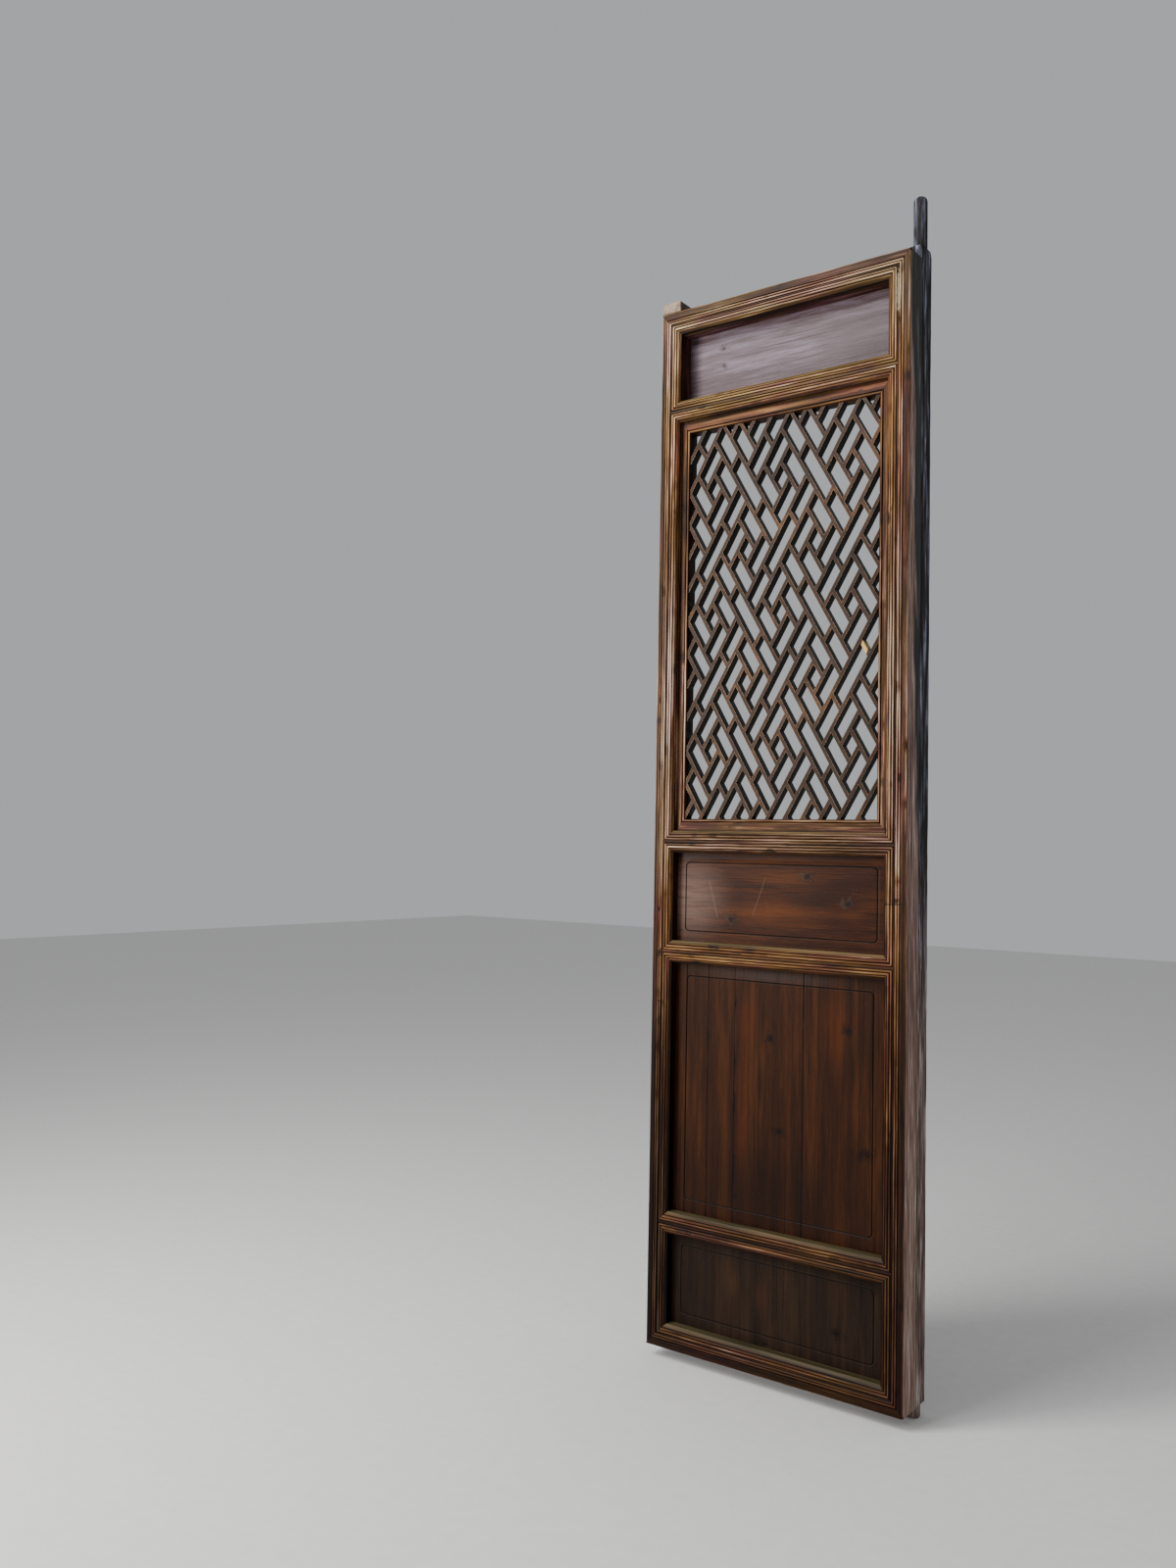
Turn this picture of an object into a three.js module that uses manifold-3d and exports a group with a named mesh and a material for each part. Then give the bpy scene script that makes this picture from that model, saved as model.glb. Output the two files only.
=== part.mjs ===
// A traditional wooden lattice door leaf: a fretwork grille over solid panels, in a moulded frame.
// Millimetres. X runs to the right, Y runs from the front into the leaf, and Z runs up.
// The origin is the tip of the lower pivot, and the Z axis is the line that the leaf hangs on.
import * as THREE from "three";
import { mergeVertices } from "three/addons/utils/BufferGeometryUtils.js";
import Module from "manifold-3d";

const wasm = await Module();
wasm.setup();

// Leaf and frame
const leafWidth = 696;
const leafHeight = 2705;
const leafThickness = 75;
const fitGap = 0.3;

// Panel openings, from the top down; the grille's opening takes what height is left
const topPanelHeight = 182;
const waistPanelHeight = 229;
const skirtPanelHeight = 638;
const footPanelHeight = 228;
const footBandHeight = 5;
const topBandHeight = 5;

// Mouldings, as members across the face, counted from the opening's edge outwards
const edgeSlopeWidth = 9.5;
const edgeSlopeDrop = 8;
const innerBeadWidth = 8;
const middleBeadWidth = 6.5;
const hollowWidth = 4;
const outerBeadWidth = 7;
const narrowBeadWidth = 6;
const plainBandWidth = 15;
const grooveDepth = 2.6;
const hollowDepth = 1.4;
const slopeShoulderWidth = 1.5;
const slopeShoulderDepth = 1.6;
const hollowEase = 1;
const bandEase = 1.5;
const cornerRadius = 4;
const beadFacets = 4;
const cornerFacets = 3;
const mouldingLayer = 12;

// Floating panels
const topPanelRecess = 54;
const lowerPanelRecess = 30;
const panelThickness = 12;
const panelTongue = 9;
const waistFieldInset = 26;
const skirtFieldInset = 34;
const footFieldInset = 28;
const fieldRadius = 11;
const fieldGrooveWidth = 3;
const fieldGrooveDepth = 1.6;
const fieldCornerFacets = 5;

// Inner frame that holds the fret
const latticeSideWidth = 25;
const latticeEndWidth = 31;
const latticeSetBack = 18;
const latticeThickness = 36;
const latticeBeadWidth = 8;
const latticeFlatDepth = 0.4;

// Fret: bars in two directions over rhombic cells
const barWidth = 8.8;
const barDepth = 26;
const barSetBack = 4;
const cellWidth = 48.6;
const cellHeight = 85.1;
const fretCentreRaise = 8;
const smallestBarVolume = 2000;

// Hinge post and pivots
const postWidth = 36;
const postDepth = 60;
const postHead = 38;
const pivotDiameter = 34;
const upperPivotLength = 130;
const lowerPivotLength = 30;
const pivotFacets = 24;
const pivotTipFlat = 12;
const pivotTipRise = 14;
const pivotFootChamfer = 2;

// Horn that is left on top of the meeting stile
const hornHeight = 28;
const hornRounding = 12;

// Colours, as red, green and blue hexadecimal values
const frameColour = 0x6b4526;
const fretColour = 0x5d3d24;
const upperPanelColour = 0x8a7d7d;
const waistPanelColour = 0x4b2a1c;
const skirtPanelColour = 0x3d2417;
const footPanelColour = 0x2c1c14;
const postColour = 0x3f3c3a;

// Worked out from the driving dimensions
const innerMouldingWidth = edgeSlopeWidth + innerBeadWidth + middleBeadWidth + hollowWidth;
const outerMouldingWidth = outerBeadWidth + narrowBeadWidth + plainBandWidth;
const stileWidth = innerMouldingWidth + outerMouldingWidth;
const railWidth = 2 * innerMouldingWidth;
const footRailWidth = stileWidth + footBandHeight;
const topRailWidth = stileWidth + topBandHeight;
const postFront = leafThickness + fitGap;
const pivotAxisX = leafWidth - postWidth / 2;
const pivotAxisY = postFront + postDepth / 2;
const latticeFront = latticeSetBack;
const fretFront = latticeFront + barSetBack;

// Heights of the rails' edges, from the bottom up
const footPanelBottom = footRailWidth;
const footPanelTop = footPanelBottom + footPanelHeight;
const skirtPanelBottom = footPanelTop + railWidth;
const skirtPanelTop = skirtPanelBottom + skirtPanelHeight;
const waistPanelBottom = skirtPanelTop + railWidth;
const waistPanelTop = waistPanelBottom + waistPanelHeight;
const grilleBottom = waistPanelTop + railWidth;
const topPanelTop = leafHeight - topRailWidth;
const topPanelBottom = topPanelTop - topPanelHeight;
const grilleTop = topPanelBottom - railWidth;

// The openings that hold floating panels. The top panel is plain, so it has no field.
const panelOpenings = [
  { name: "foot", bottom: footPanelBottom, top: footPanelTop, recess: lowerPanelRecess,
    fieldInset: footFieldInset },
  { name: "skirt", bottom: skirtPanelBottom, top: skirtPanelTop, recess: lowerPanelRecess,
    fieldInset: skirtFieldInset },
  { name: "waist", bottom: waistPanelBottom, top: waistPanelTop, recess: lowerPanelRecess,
    fieldInset: waistFieldInset },
  { name: "top", bottom: topPanelBottom, top: topPanelTop, recess: topPanelRecess },
];

// How far a cutting block runs past the face that it cuts.
const overcut = 1;

// Turns a closed three.js geometry into a solid that can be joined and cut.
function toSolid(geometry, matrix = new THREE.Matrix4()) {
  const placed = geometry.clone().applyMatrix4(matrix);
  placed.deleteAttribute("normal");
  placed.deleteAttribute("uv");
  const merged = mergeVertices(placed, 1e-4);
  const triVerts = Uint32Array.from(merged.index.array);
  if (matrix.determinant() < 0) {
    for (let i = 0; i < triVerts.length; i += 3) {
      [triVerts[i], triVerts[i + 1]] = [triVerts[i + 1], triVerts[i]];
    }
  }
  const vertProperties = Float32Array.from(merged.attributes.position.array);
  return new wasm.Manifold(new wasm.Mesh({ numProp: 3, vertProperties, triVerts }));
}

function toGeometry(solid) {
  const mesh = solid.getMesh();
  const geometry = new THREE.BufferGeometry();
  geometry.setAttribute("position", new THREE.BufferAttribute(mesh.vertProperties, 3));
  geometry.setIndex(new THREE.BufferAttribute(mesh.triVerts, 1));
  geometry.computeVertexNormals();
  return geometry;
}

// Basis matrices that lay a flat outline (u, v), extruded along t, into the leaf.
const vector = (x, y, z) => new THREE.Vector3(x, y, z);
const basis = (u, v, t) => new THREE.Matrix4().makeBasis(u, v, t);
const along = {
  x: basis(vector(0, 0, 1), vector(0, 1, 0), vector(1, 0, 0)),
  y: basis(vector(1, 0, 0), vector(0, 0, 1), vector(0, 1, 0)),
  z: basis(vector(1, 0, 0), vector(0, 1, 0), vector(0, 0, 1)),
};

// A prism of an outline, from start to end along an axis. Outline points are
// (z, y) along x, (x, z) along y, and (x, y) along z.
function prism(outline, axis, start, end) {
  const shape = new THREE.Shape(outline.map(([u, v]) => new THREE.Vector2(u, v)));
  const geometry = new THREE.ExtrudeGeometry(shape, { depth: end - start, bevelEnabled: false });
  geometry.translate(0, 0, start);
  return toSolid(geometry, along[axis]);
}

function box(x0, x1, y0, y1, z0, z1) {
  return prism([[x0, y0], [x1, y0], [x1, y1], [x0, y1]], "z", z0, z1);
}

// Face line of one bead: an arc that rises from the groove depth to the face.
function beadLine(from, width) {
  const points = [];
  for (let i = 1; i <= beadFacets; i++) {
    const share = i / beadFacets;
    points.push([from + width * share, grooveDepth * (1 - Math.sin(Math.PI * share))]);
  }
  return points;
}

// Face line from an opening's edge to the middle of a rail, as (distance, depth) points.
function innerMouldingLine() {
  const beadStart = edgeSlopeWidth + innerBeadWidth;
  const hollowStart = beadStart + middleBeadWidth;
  return [
    [0, edgeSlopeDrop],
    [edgeSlopeWidth - slopeShoulderWidth, slopeShoulderDepth],
    [edgeSlopeWidth, grooveDepth],
    ...beadLine(edgeSlopeWidth, innerBeadWidth),
    ...beadLine(beadStart, middleBeadWidth),
    [hollowStart + hollowEase, hollowDepth],
    [hollowStart + hollowWidth, hollowDepth],
  ];
}

// Face line of the outer half, which runs on from the inner half to the frame's outer edge.
function outerMouldingLine(extraBand = 0) {
  const narrowStart = innerMouldingWidth + outerBeadWidth;
  const bandStart = narrowStart + narrowBeadWidth;
  const bandEnd = bandStart + plainBandWidth + extraBand;
  const points = [
    [innerMouldingWidth, grooveDepth],
    ...beadLine(innerMouldingWidth, outerBeadWidth),
    ...beadLine(narrowStart, narrowBeadWidth),
    [bandStart + bandEase, 0],
  ];
  for (let i = 0; i <= cornerFacets; i++) {
    const angle = (Math.PI / 2) * (i / cornerFacets);
    const inset = cornerRadius * (1 - Math.sin(angle));
    points.push([bandEnd - inset, cornerRadius * (1 - Math.cos(angle))]);
  }
  return points;
}

// Full face of a stile, top rail or foot rail, from the opening's edge to the outer edge.
function frameFaceLine(extraBand = 0) {
  const inner = innerMouldingLine();
  const hollowEnd = inner.pop();
  return [...inner, [hollowEnd[0] - hollowEase, hollowEnd[1]], ...outerMouldingLine(extraBand)];
}

// Full face of a rail between two openings: the inner half and its mirror image.
function railFaceLine() {
  const lower = innerMouldingLine();
  const upper = innerMouldingLine().reverse().slice(1);
  return [...lower, ...upper.map(([s, d]) => [railWidth - s, d])];
}

// Prisms that bound the mitres. A rail between two openings ends in two points; the top and
// foot rails are cut at 45 degrees. Each outline runs past the leaf's front.
function pointedOutline(bottom, top, gap) {
  const reach = (top - bottom) / 2;
  const left = stileWidth - gap;
  const right = leafWidth - stileWidth + gap;
  const middle = bottom + reach;
  return [[left, bottom], [right, bottom], [right + reach, middle], [right, top], [left, top],
    [left - reach, middle]];
}

function topMitreOutline(gap) {
  const left = stileWidth - gap;
  const right = leafWidth - stileWidth + gap;
  const reach = topRailWidth + hornHeight;
  return [[left, topPanelTop], [right, topPanelTop], [right + reach, topPanelTop + reach],
    [left - reach, topPanelTop + reach]];
}

function footMitreOutline(gap) {
  const left = stileWidth - gap;
  const right = leafWidth - stileWidth + gap;
  const reach = footPanelBottom;
  return [[right, footPanelBottom], [left, footPanelBottom], [left - reach, footPanelBottom - reach],
    [right + reach, footPanelBottom - reach]];
}

const mitreGap = fitGap * Math.SQRT2;
const frontReach = 5;
const railSpans = [
  { name: "foot_rail", bottom: 0, top: footPanelBottom, mitre: footMitreOutline },
  { name: "skirt_rail", bottom: footPanelTop, top: skirtPanelBottom, mitre: pointedOutline },
  { name: "waist_rail", bottom: skirtPanelTop, top: waistPanelBottom, mitre: pointedOutline },
  { name: "grille_rail", bottom: waistPanelTop, top: grilleBottom, mitre: pointedOutline },
  { name: "upper_rail", bottom: grilleTop, top: topPanelBottom, mitre: pointedOutline },
  { name: "top_rail", bottom: topPanelTop, top: leafHeight, mitre: topMitreOutline },
];

function mitreOf(span, gap) {
  return span.mitre === pointedOutline ? pointedOutline(span.bottom, span.top, gap) : span.mitre(gap);
}

// Face line of a rail, placed at its height, as (z, y) points.
function railFacePoints(span) {
  if (span.name === "top_rail") {
    return frameFaceLine(topBandHeight).map(([s, d]) => [topPanelTop + s, d]);
  }
  if (span.name === "foot_rail") {
    return frameFaceLine(footBandHeight).map(([s, d]) => [footPanelBottom - s, d]);
  }
  return railFaceLine().map(([s, d]) => [span.bottom + s, d]);
}

// Grooves in the rails' edges, where the floating panels are held.
function panelGroove({ bottom, top, recess }) {
  const reach = panelTongue + fitGap;
  return box(stileWidth - reach, leafWidth - stileWidth + reach, recess - fitGap,
    recess + panelThickness + fitGap, bottom - reach, top + reach);
}

function panelGrooves() {
  return panelOpenings.map(panelGroove).reduce((joined, cut) => joined.add(cut));
}

function buildRail(span) {
  const face = railFacePoints(span);
  const first = face[0];
  const last = face[face.length - 1];
  const outline = [...face, [last[0], leafThickness], [first[0], leafThickness]];
  const bar = prism(outline, "x", 0, leafWidth);
  const pointed = prism(mitreOf(span, 0), "y", -frontReach, mouldingLayer);
  const backLeft = stileWidth + fitGap;
  const back = box(backLeft, leafWidth - backLeft, mouldingLayer - overcut, leafThickness + overcut, 0,
    leafHeight);
  return bar.intersect(pointed.add(back)).subtract(panelGrooves());
}

// Left stile: the full face, cut away where the rails' mouldings enter it.
function buildStile() {
  const face = frameFaceLine().map(([s, d]) => [stileWidth - s, d]);
  const outline = [...face, [0, leafThickness], [stileWidth, leafThickness]];
  let stile = prism(outline, "z", 0, leafHeight);
  for (const span of railSpans) {
    const cut = mitreOf(span, mitreGap);
    stile = stile.subtract(prism(cut, "y", -frontReach, mouldingLayer + fitGap));
  }
  return stile.subtract(panelGrooves());
}

// The horn keeps the stile's width and thickness, and rounds over at its outer corner.
function buildHorn() {
  const points = [[0, leafHeight + fitGap], [stileWidth - fitGap, leafHeight + fitGap],
    [stileWidth - fitGap, leafHeight + hornHeight]];
  for (let i = 0; i <= cornerFacets; i++) {
    const angle = (Math.PI / 2) * (i / cornerFacets);
    points.push([hornRounding * (1 - Math.sin(angle)),
      leafHeight + hornHeight - hornRounding * (1 - Math.cos(angle))]);
  }
  const block = prism(points, "y", 0, leafThickness);
  const neck = box(0, stileWidth - fitGap, mouldingLayer + fitGap, leafThickness,
    leafHeight - overcut, leafHeight + hornHeight / 2);
  return block.add(neck);
}

const mirrorAcrossLeaf = new THREE.Matrix4().makeScale(-1, 1, 1).setPosition(leafWidth, 0, 0);

function mirrored(solid) {
  return toSolid(toGeometry(solid), mirrorAcrossLeaf);
}

// A rectangle with rounded corners, as a closed outline of (x, z) points.
function roundedRectangle(x0, x1, z0, z1, radius) {
  const points = [];
  const corners = [[x1 - radius, z1 - radius, 0], [x0 + radius, z1 - radius, 1],
    [x0 + radius, z0 + radius, 2], [x1 - radius, z0 + radius, 3]];
  for (const [cx, cz, quarter] of corners) {
    for (let i = 0; i <= fieldCornerFacets; i++) {
      const angle = (Math.PI / 2) * (quarter + i / fieldCornerFacets);
      points.push([cx + radius * Math.cos(angle), cz + radius * Math.sin(angle)]);
    }
  }
  return points;
}

// A floating panel. All but the top one have a groove that marks a field with rounded corners.
function buildPanel(opening) {
  const reach = panelTongue;
  const left = stileWidth - reach;
  const right = leafWidth - stileWidth + reach;
  const panel = box(left, right, opening.recess, opening.recess + panelThickness,
    opening.bottom - reach, opening.top + reach);
  if (opening.name === "top") {
    return panel;
  }
  const x0 = stileWidth + opening.fieldInset;
  const x1 = leafWidth - x0;
  const z0 = opening.bottom + opening.fieldInset;
  const z1 = opening.top - opening.fieldInset;
  const front = opening.recess - overcut;
  const floor = opening.recess + fieldGrooveDepth;
  const inset = fieldGrooveWidth;
  const outer = prism(roundedRectangle(x0, x1, z0, z1, fieldRadius), "y", front, floor);
  const inner = prism(roundedRectangle(x0 + inset, x1 - inset, z0 + inset, z1 - inset,
    fieldRadius - inset), "y", front - overcut, floor + overcut);
  return panel.subtract(outer.subtract(inner));
}

// Face line of an inner frame member, from the fret's opening outwards: a bead and a flat.
function latticeFaceLine(width) {
  const depthAt = ([s, d]) => [s, latticeFront + d];
  const line = [[0, grooveDepth], ...beadLine(0, latticeBeadWidth),
    [latticeBeadWidth + bandEase, latticeFlatDepth], [width, latticeFlatDepth]];
  return line.map(depthAt);
}

const latticeLeft = stileWidth + fitGap;
const latticeRight = leafWidth - latticeLeft;
const latticeBottom = grilleBottom + fitGap;
const latticeTop = grilleTop - fitGap;
const fretLeft = stileWidth + latticeSideWidth;
const fretRight = leafWidth - fretLeft;
const fretBottom = grilleBottom + latticeEndWidth;
const fretTop = grilleTop - latticeEndWidth;

// The inner frame's members meet in mitres that run from its corners to the fret's corners.
function latticeMember(side) {
  const back = latticeFront + latticeThickness;
  const sideWidth = fretLeft - latticeLeft;
  const endWidth = fretBottom - latticeBottom;
  const half = fitGap / 2;
  const closed = (line) => [...line, [line[line.length - 1][0], back], [line[0][0], back]];
  if (side === "left") {
    const face = closed(latticeFaceLine(sideWidth)).map(([s, d]) => [fretLeft - s, d]);
    const mitre = [[latticeLeft, latticeBottom + half], [fretLeft, fretBottom + half],
      [fretLeft, fretTop - half], [latticeLeft, latticeTop - half]];
    const ends = prism(mitre, "y", 0, back + overcut);
    return prism(face, "z", latticeBottom, latticeTop).intersect(ends);
  }
  const face = closed(latticeFaceLine(endWidth)).map(([s, d]) => [fretTop + s, d]);
  const mitre = [[latticeLeft + half, latticeTop], [fretLeft + half, fretTop],
    [fretRight - half, fretTop], [latticeRight - half, latticeTop]];
  return prism(face, "x", latticeLeft, latticeRight).intersect(prism(mitre, "y", 0, back + overcut));
}

function mirroredUpDown(solid) {
  const matrix = new THREE.Matrix4().makeScale(1, 1, -1).setPosition(0, 0, latticeBottom + latticeTop);
  return toSolid(toGeometry(solid), matrix);
}

// The fret repeats every eight lines. Each line is a row of unit steps between crossings, and
// these lists give the steps of a line that hold a bar.
const fretPeriod = 8;
const pinwheelA = [7, 0, 2, 3, 5];
const pinwheelB = [3, 4, 6, 7, 1];
const allStepsBut = (gap) => [...Array(fretPeriod).keys()].filter((step) => step !== gap);
const fallingLines = [pinwheelA, allStepsBut(5), allStepsBut(5), pinwheelA,
  pinwheelB, allStepsBut(1), allStepsBut(1), pinwheelB];
const risingLines = [pinwheelB, allStepsBut(1), allStepsBut(1), pinwheelB,
  pinwheelA, allStepsBut(5), allStepsBut(5), pinwheelA];
const wrap = (n) => ((n % fretPeriod) + fretPeriod) % fretPeriod;

// Coordinates snap to a grid that 32-bit numbers hold exactly, so that shared corners match.
const snapsPerMillimetre = 128;
const snap = (value) => Math.round(value * snapsPerMillimetre) / snapsPerMillimetre;

// Point of the skewed grid: i counts falling lines, and j counts rising lines.
function fretPoint(i, j) {
  const middle = (fretPeriod - 1) / 2;
  const x = (fretLeft + fretRight) / 2 + (i - middle + (j - middle)) * cellWidth / 2;
  const z = (fretBottom + fretTop) / 2 + fretCentreRaise + (i - middle - (j - middle)) * cellHeight / 2;
  return [snap(x), snap(z)];
}

// Half of the rhombus that two bars share at a crossing, in grid steps.
const cellSide = Math.hypot(cellWidth, cellHeight) / 2;
const crossingSine = cellWidth * cellHeight / (2 * cellSide * cellSide);
const halfJoint = barWidth / 2 / crossingSine / cellSide;

// Outline of one bar from step start to step end of a line, with its ends cut along the others.
function barOutline(line, start, end, rising) {
  const corners = [[-halfJoint, start - halfJoint], [-halfJoint, end + halfJoint],
    [halfJoint, end + halfJoint], [halfJoint, start - halfJoint]];
  const points = corners.map(([across, step]) => (rising
    ? fretPoint(step, line + across)
    : fretPoint(line + across, step)));
  return rising ? points.reverse() : points;
}

// Joins neighbouring steps of a line into whole bars, as [start, end] pairs.
function barsOfLine(steps, first, last) {
  const bars = [];
  let start = null;
  for (let step = first; step <= last; step++) {
    const held = steps.includes(wrap(step));
    if (held && start === null) start = step;
    if (!held && start !== null) {
      bars.push([start, step]);
      start = null;
    }
  }
  return bars;
}

function buildFret() {
  const across = (fretRight - fretLeft) / cellWidth;
  const high = (fretTop - fretBottom) / cellHeight;
  const reach = Math.ceil(across + high) + fretPeriod;
  const back = fretFront + barDepth;
  const window = box(fretLeft + fitGap, fretRight - fitGap, fretFront - overcut, back + overcut,
    fretBottom + fitGap, fretTop - fitGap);
  const bars = [];
  for (let line = -reach; line <= reach; line++) {
    for (const rising of [false, true]) {
      const steps = rising ? risingLines[wrap(line)] : fallingLines[wrap(line)];
      for (const [start, end] of barsOfLine(steps, -reach, reach)) {
        const outline = barOutline(line, start, end, rising);
        const xs = outline.map(([x]) => x);
        const zs = outline.map(([, z]) => z);
        const clear = Math.max(...xs) < fretLeft || Math.min(...xs) > fretRight
          || Math.max(...zs) < fretBottom || Math.min(...zs) > fretTop;
        if (!clear) bars.push(prism(outline, "y", fretFront, back));
      }
    }
  }
  const joined = wasm.Manifold.union(bars).asOriginal().simplify(1 / snapsPerMillimetre);
  const parts = joined.intersect(window).asOriginal().decompose();
  return parts.filter((part) => part.volume() > smallestBarVolume).sort((a, b) => b.volume() - a.volume());
}

// Hinge post behind the right stile, with round pivots turned on its ends.
function buildPost() {
  const left = pivotAxisX - postWidth / 2;
  const back = postFront + postDepth;
  const shaft = box(left, left + postWidth, postFront, back, 0, leafHeight + postHead);
  const radius = pivotDiameter / 2;
  const bottom = -lowerPivotLength;
  const top = leafHeight + postHead + upperPivotLength;
  const flat = pivotTipFlat / 2;
  const profile = [[0, bottom], [radius - pivotFootChamfer, bottom], [radius, bottom + pivotFootChamfer]];
  const shoulder = top - pivotTipRise;
  for (let i = 0; i <= cornerFacets; i++) {
    const angle = (Math.PI / 2) * (i / cornerFacets);
    profile.push([flat + (radius - flat) * Math.cos(angle), shoulder + pivotTipRise * Math.sin(angle)]);
  }
  profile.push([0, top]);
  const lathe = new THREE.LatheGeometry(profile.map(([r, z]) => new THREE.Vector2(r, z)), pivotFacets);
  const upright = new THREE.Matrix4().makeRotationX(Math.PI / 2).setPosition(pivotAxisX, pivotAxisY, 0);
  return shaft.add(toSolid(lathe, upright));
}

function addPiece(group, name, solid, colour, roughness) {
  const material = new THREE.MeshStandardMaterial({ color: colour, roughness, metalness: 0 });
  const mesh = new THREE.Mesh(toGeometry(solid), material);
  mesh.name = name;
  group.add(mesh);
}

const frameRoughness = 0.5;
const panelRoughness = 0.45;
const postRoughness = 0.85;

const leaf = new THREE.Group();
leaf.position.set(-pivotAxisX, -pivotAxisY, lowerPivotLength);

const stile = buildStile();
addPiece(leaf, "meeting_stile", stile.add(buildHorn()), frameColour, frameRoughness);
addPiece(leaf, "hinge_stile", mirrored(stile), frameColour, frameRoughness);
for (const span of railSpans) {
  addPiece(leaf, span.name, buildRail(span), frameColour, frameRoughness);
}

const panelColours = {
  top: upperPanelColour,
  waist: waistPanelColour,
  skirt: skirtPanelColour,
  foot: footPanelColour,
};
for (const opening of panelOpenings) {
  addPiece(leaf, `${opening.name}_panel`, buildPanel(opening), panelColours[opening.name], panelRoughness);
}

const latticeSide = latticeMember("left");
const latticeHead = latticeMember("top");
addPiece(leaf, "lattice_frame_left", latticeSide, frameColour, frameRoughness);
addPiece(leaf, "lattice_frame_right", mirrored(latticeSide), frameColour, frameRoughness);
addPiece(leaf, "lattice_frame_top", latticeHead, frameColour, frameRoughness);
addPiece(leaf, "lattice_frame_bottom", mirroredUpDown(latticeHead), frameColour, frameRoughness);

// The bars are fused into one fret. A bar that only crosses a corner is a piece of its own.
const [fret, ...cornerBars] = buildFret();
addPiece(leaf, "fret", fret, fretColour, frameRoughness);
cornerBars.forEach((bar, i) => {
  addPiece(leaf, `fret_corner_bar_${i + 1}`, bar, fretColour, frameRoughness);
});
addPiece(leaf, "hinge_post", buildPost(), postColour, postRoughness);

const group = new THREE.Group();
group.add(leaf);

export default group;
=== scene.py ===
# Looks of an old wooden lattice door leaf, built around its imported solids.
# Sizes are in millimetres on the leaf: x from its left edge, d from its front face into the
# wood, and z from its foot. spot() turns them into the frame's metres.
import math
import random
from typing import NamedTuple

import bmesh
import bpy
from mathutils import Matrix, Vector, noise


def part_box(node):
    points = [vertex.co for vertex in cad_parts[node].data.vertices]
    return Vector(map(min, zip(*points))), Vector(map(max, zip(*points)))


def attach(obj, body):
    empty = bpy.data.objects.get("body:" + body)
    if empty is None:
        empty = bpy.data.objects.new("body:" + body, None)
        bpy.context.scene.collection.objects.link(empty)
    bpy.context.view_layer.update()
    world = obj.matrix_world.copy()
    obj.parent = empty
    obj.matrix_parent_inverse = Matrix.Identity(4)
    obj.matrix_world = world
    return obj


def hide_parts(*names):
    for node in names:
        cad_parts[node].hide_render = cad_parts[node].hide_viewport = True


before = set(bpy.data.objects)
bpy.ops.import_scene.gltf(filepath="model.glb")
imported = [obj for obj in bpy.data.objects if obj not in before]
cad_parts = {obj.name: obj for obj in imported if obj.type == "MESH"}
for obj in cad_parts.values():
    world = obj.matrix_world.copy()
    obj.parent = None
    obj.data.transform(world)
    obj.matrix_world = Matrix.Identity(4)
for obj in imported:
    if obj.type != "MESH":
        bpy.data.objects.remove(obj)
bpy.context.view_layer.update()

MM = 0.001
rng = random.Random(41)

# The leaf's place and size, from the frame
hinge_low, hinge_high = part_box("hinge_stile")
meeting_low, meeting_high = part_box("meeting_stile")
LEAF_ORIGIN = Vector((meeting_low.x, hinge_low.y, hinge_low.z))


def on_leaf(point):
    """A point of the frame, in metres, as (x, d, z) in millimetres on the leaf."""
    return [round(value / MM, 2) for value in point - LEAF_ORIGIN]


def spot(x, d, z):
    return LEAF_ORIGIN + Vector((x, d, z)) * MM


leaf_width, leaf_depth, leaf_height = on_leaf(hinge_high)
stile_width = on_leaf(meeting_high)[0]
horn_top = on_leaf(meeting_high)[2]

RAILS = ("foot_rail", "skirt_rail", "waist_rail", "grille_rail", "upper_rail", "top_rail")
rail_spans = {name: [on_leaf(corner)[2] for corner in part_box(name)] for name in RAILS}
openings = {
    name: (rail_spans[lower][1], rail_spans[upper][0])
    for name, lower, upper in zip(("foot", "skirt", "waist", "grille", "top"), RAILS, RAILS[1:])
}

# Mouldings across the face, counted from an opening's edge outwards
EDGE_SLOPE_WIDTH = 9.5
EDGE_SLOPE_DROP = 8
SLOPE_SHOULDER_WIDTH = 1.5
SLOPE_SHOULDER_DEPTH = 1.6
INNER_BEAD_WIDTH = 8
MIDDLE_BEAD_WIDTH = 6.5
HOLLOW_WIDTH = 4
HOLLOW_DEPTH = 1.4
HOLLOW_EASE = 1
OUTER_BEAD_WIDTH = 7
NARROW_BEAD_WIDTH = 6
BAND_EASE = 1.5
CORNER_RADIUS = 4
GROOVE_DEPTH = 2.6
MOULDING_LAYER = 12
BEAD_STEPS = 9
CREST_FLATNESS = 0.6
ROW_SPACING = 9
JOINT_GAP = 0.25
half_moulding = EDGE_SLOPE_WIDTH + INNER_BEAD_WIDTH + MIDDLE_BEAD_WIDTH + HOLLOW_WIDTH

# Tones kept on each point: 0 is a sooty groove with painted shade, and 1 would be wood worn bare;
# the crests' high tones stand for wear and a painted highlight
SOOT_AND_SHADE = 0.0
SHALLOW_GROOVE = 0.36
SHADE = 0.22
PLAIN = 0.5
CREST_WEAR_AND_HIGHLIGHT = 0.81


# Meshes

SHARP_ANGLE = 38
CRISP_ANGLE = 30


def finish_mesh(name, build, materials, sharp_angle=SHARP_ANGLE):
    """Turns a bmesh into a piece with smooth shading up to sharp_angle."""
    mesh = bpy.data.meshes.new(name)
    bmesh.ops.recalc_face_normals(build, faces=build.faces)
    build.to_mesh(mesh)
    build.free()
    for material in materials:
        mesh.materials.append(material)
    mesh.polygons.foreach_set("use_smooth", [True] * len(mesh.polygons))
    mesh.set_sharp_from_angle(angle=math.radians(sharp_angle))
    piece = bpy.data.objects.new(name, mesh)
    bpy.context.scene.collection.objects.link(piece)
    return piece


def dress(piece, slot, *nodes):
    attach(piece, "root")
    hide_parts(*nodes)


def new_build():
    build = bmesh.new()
    build.verts.layers.float.new("tone")
    return build


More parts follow.
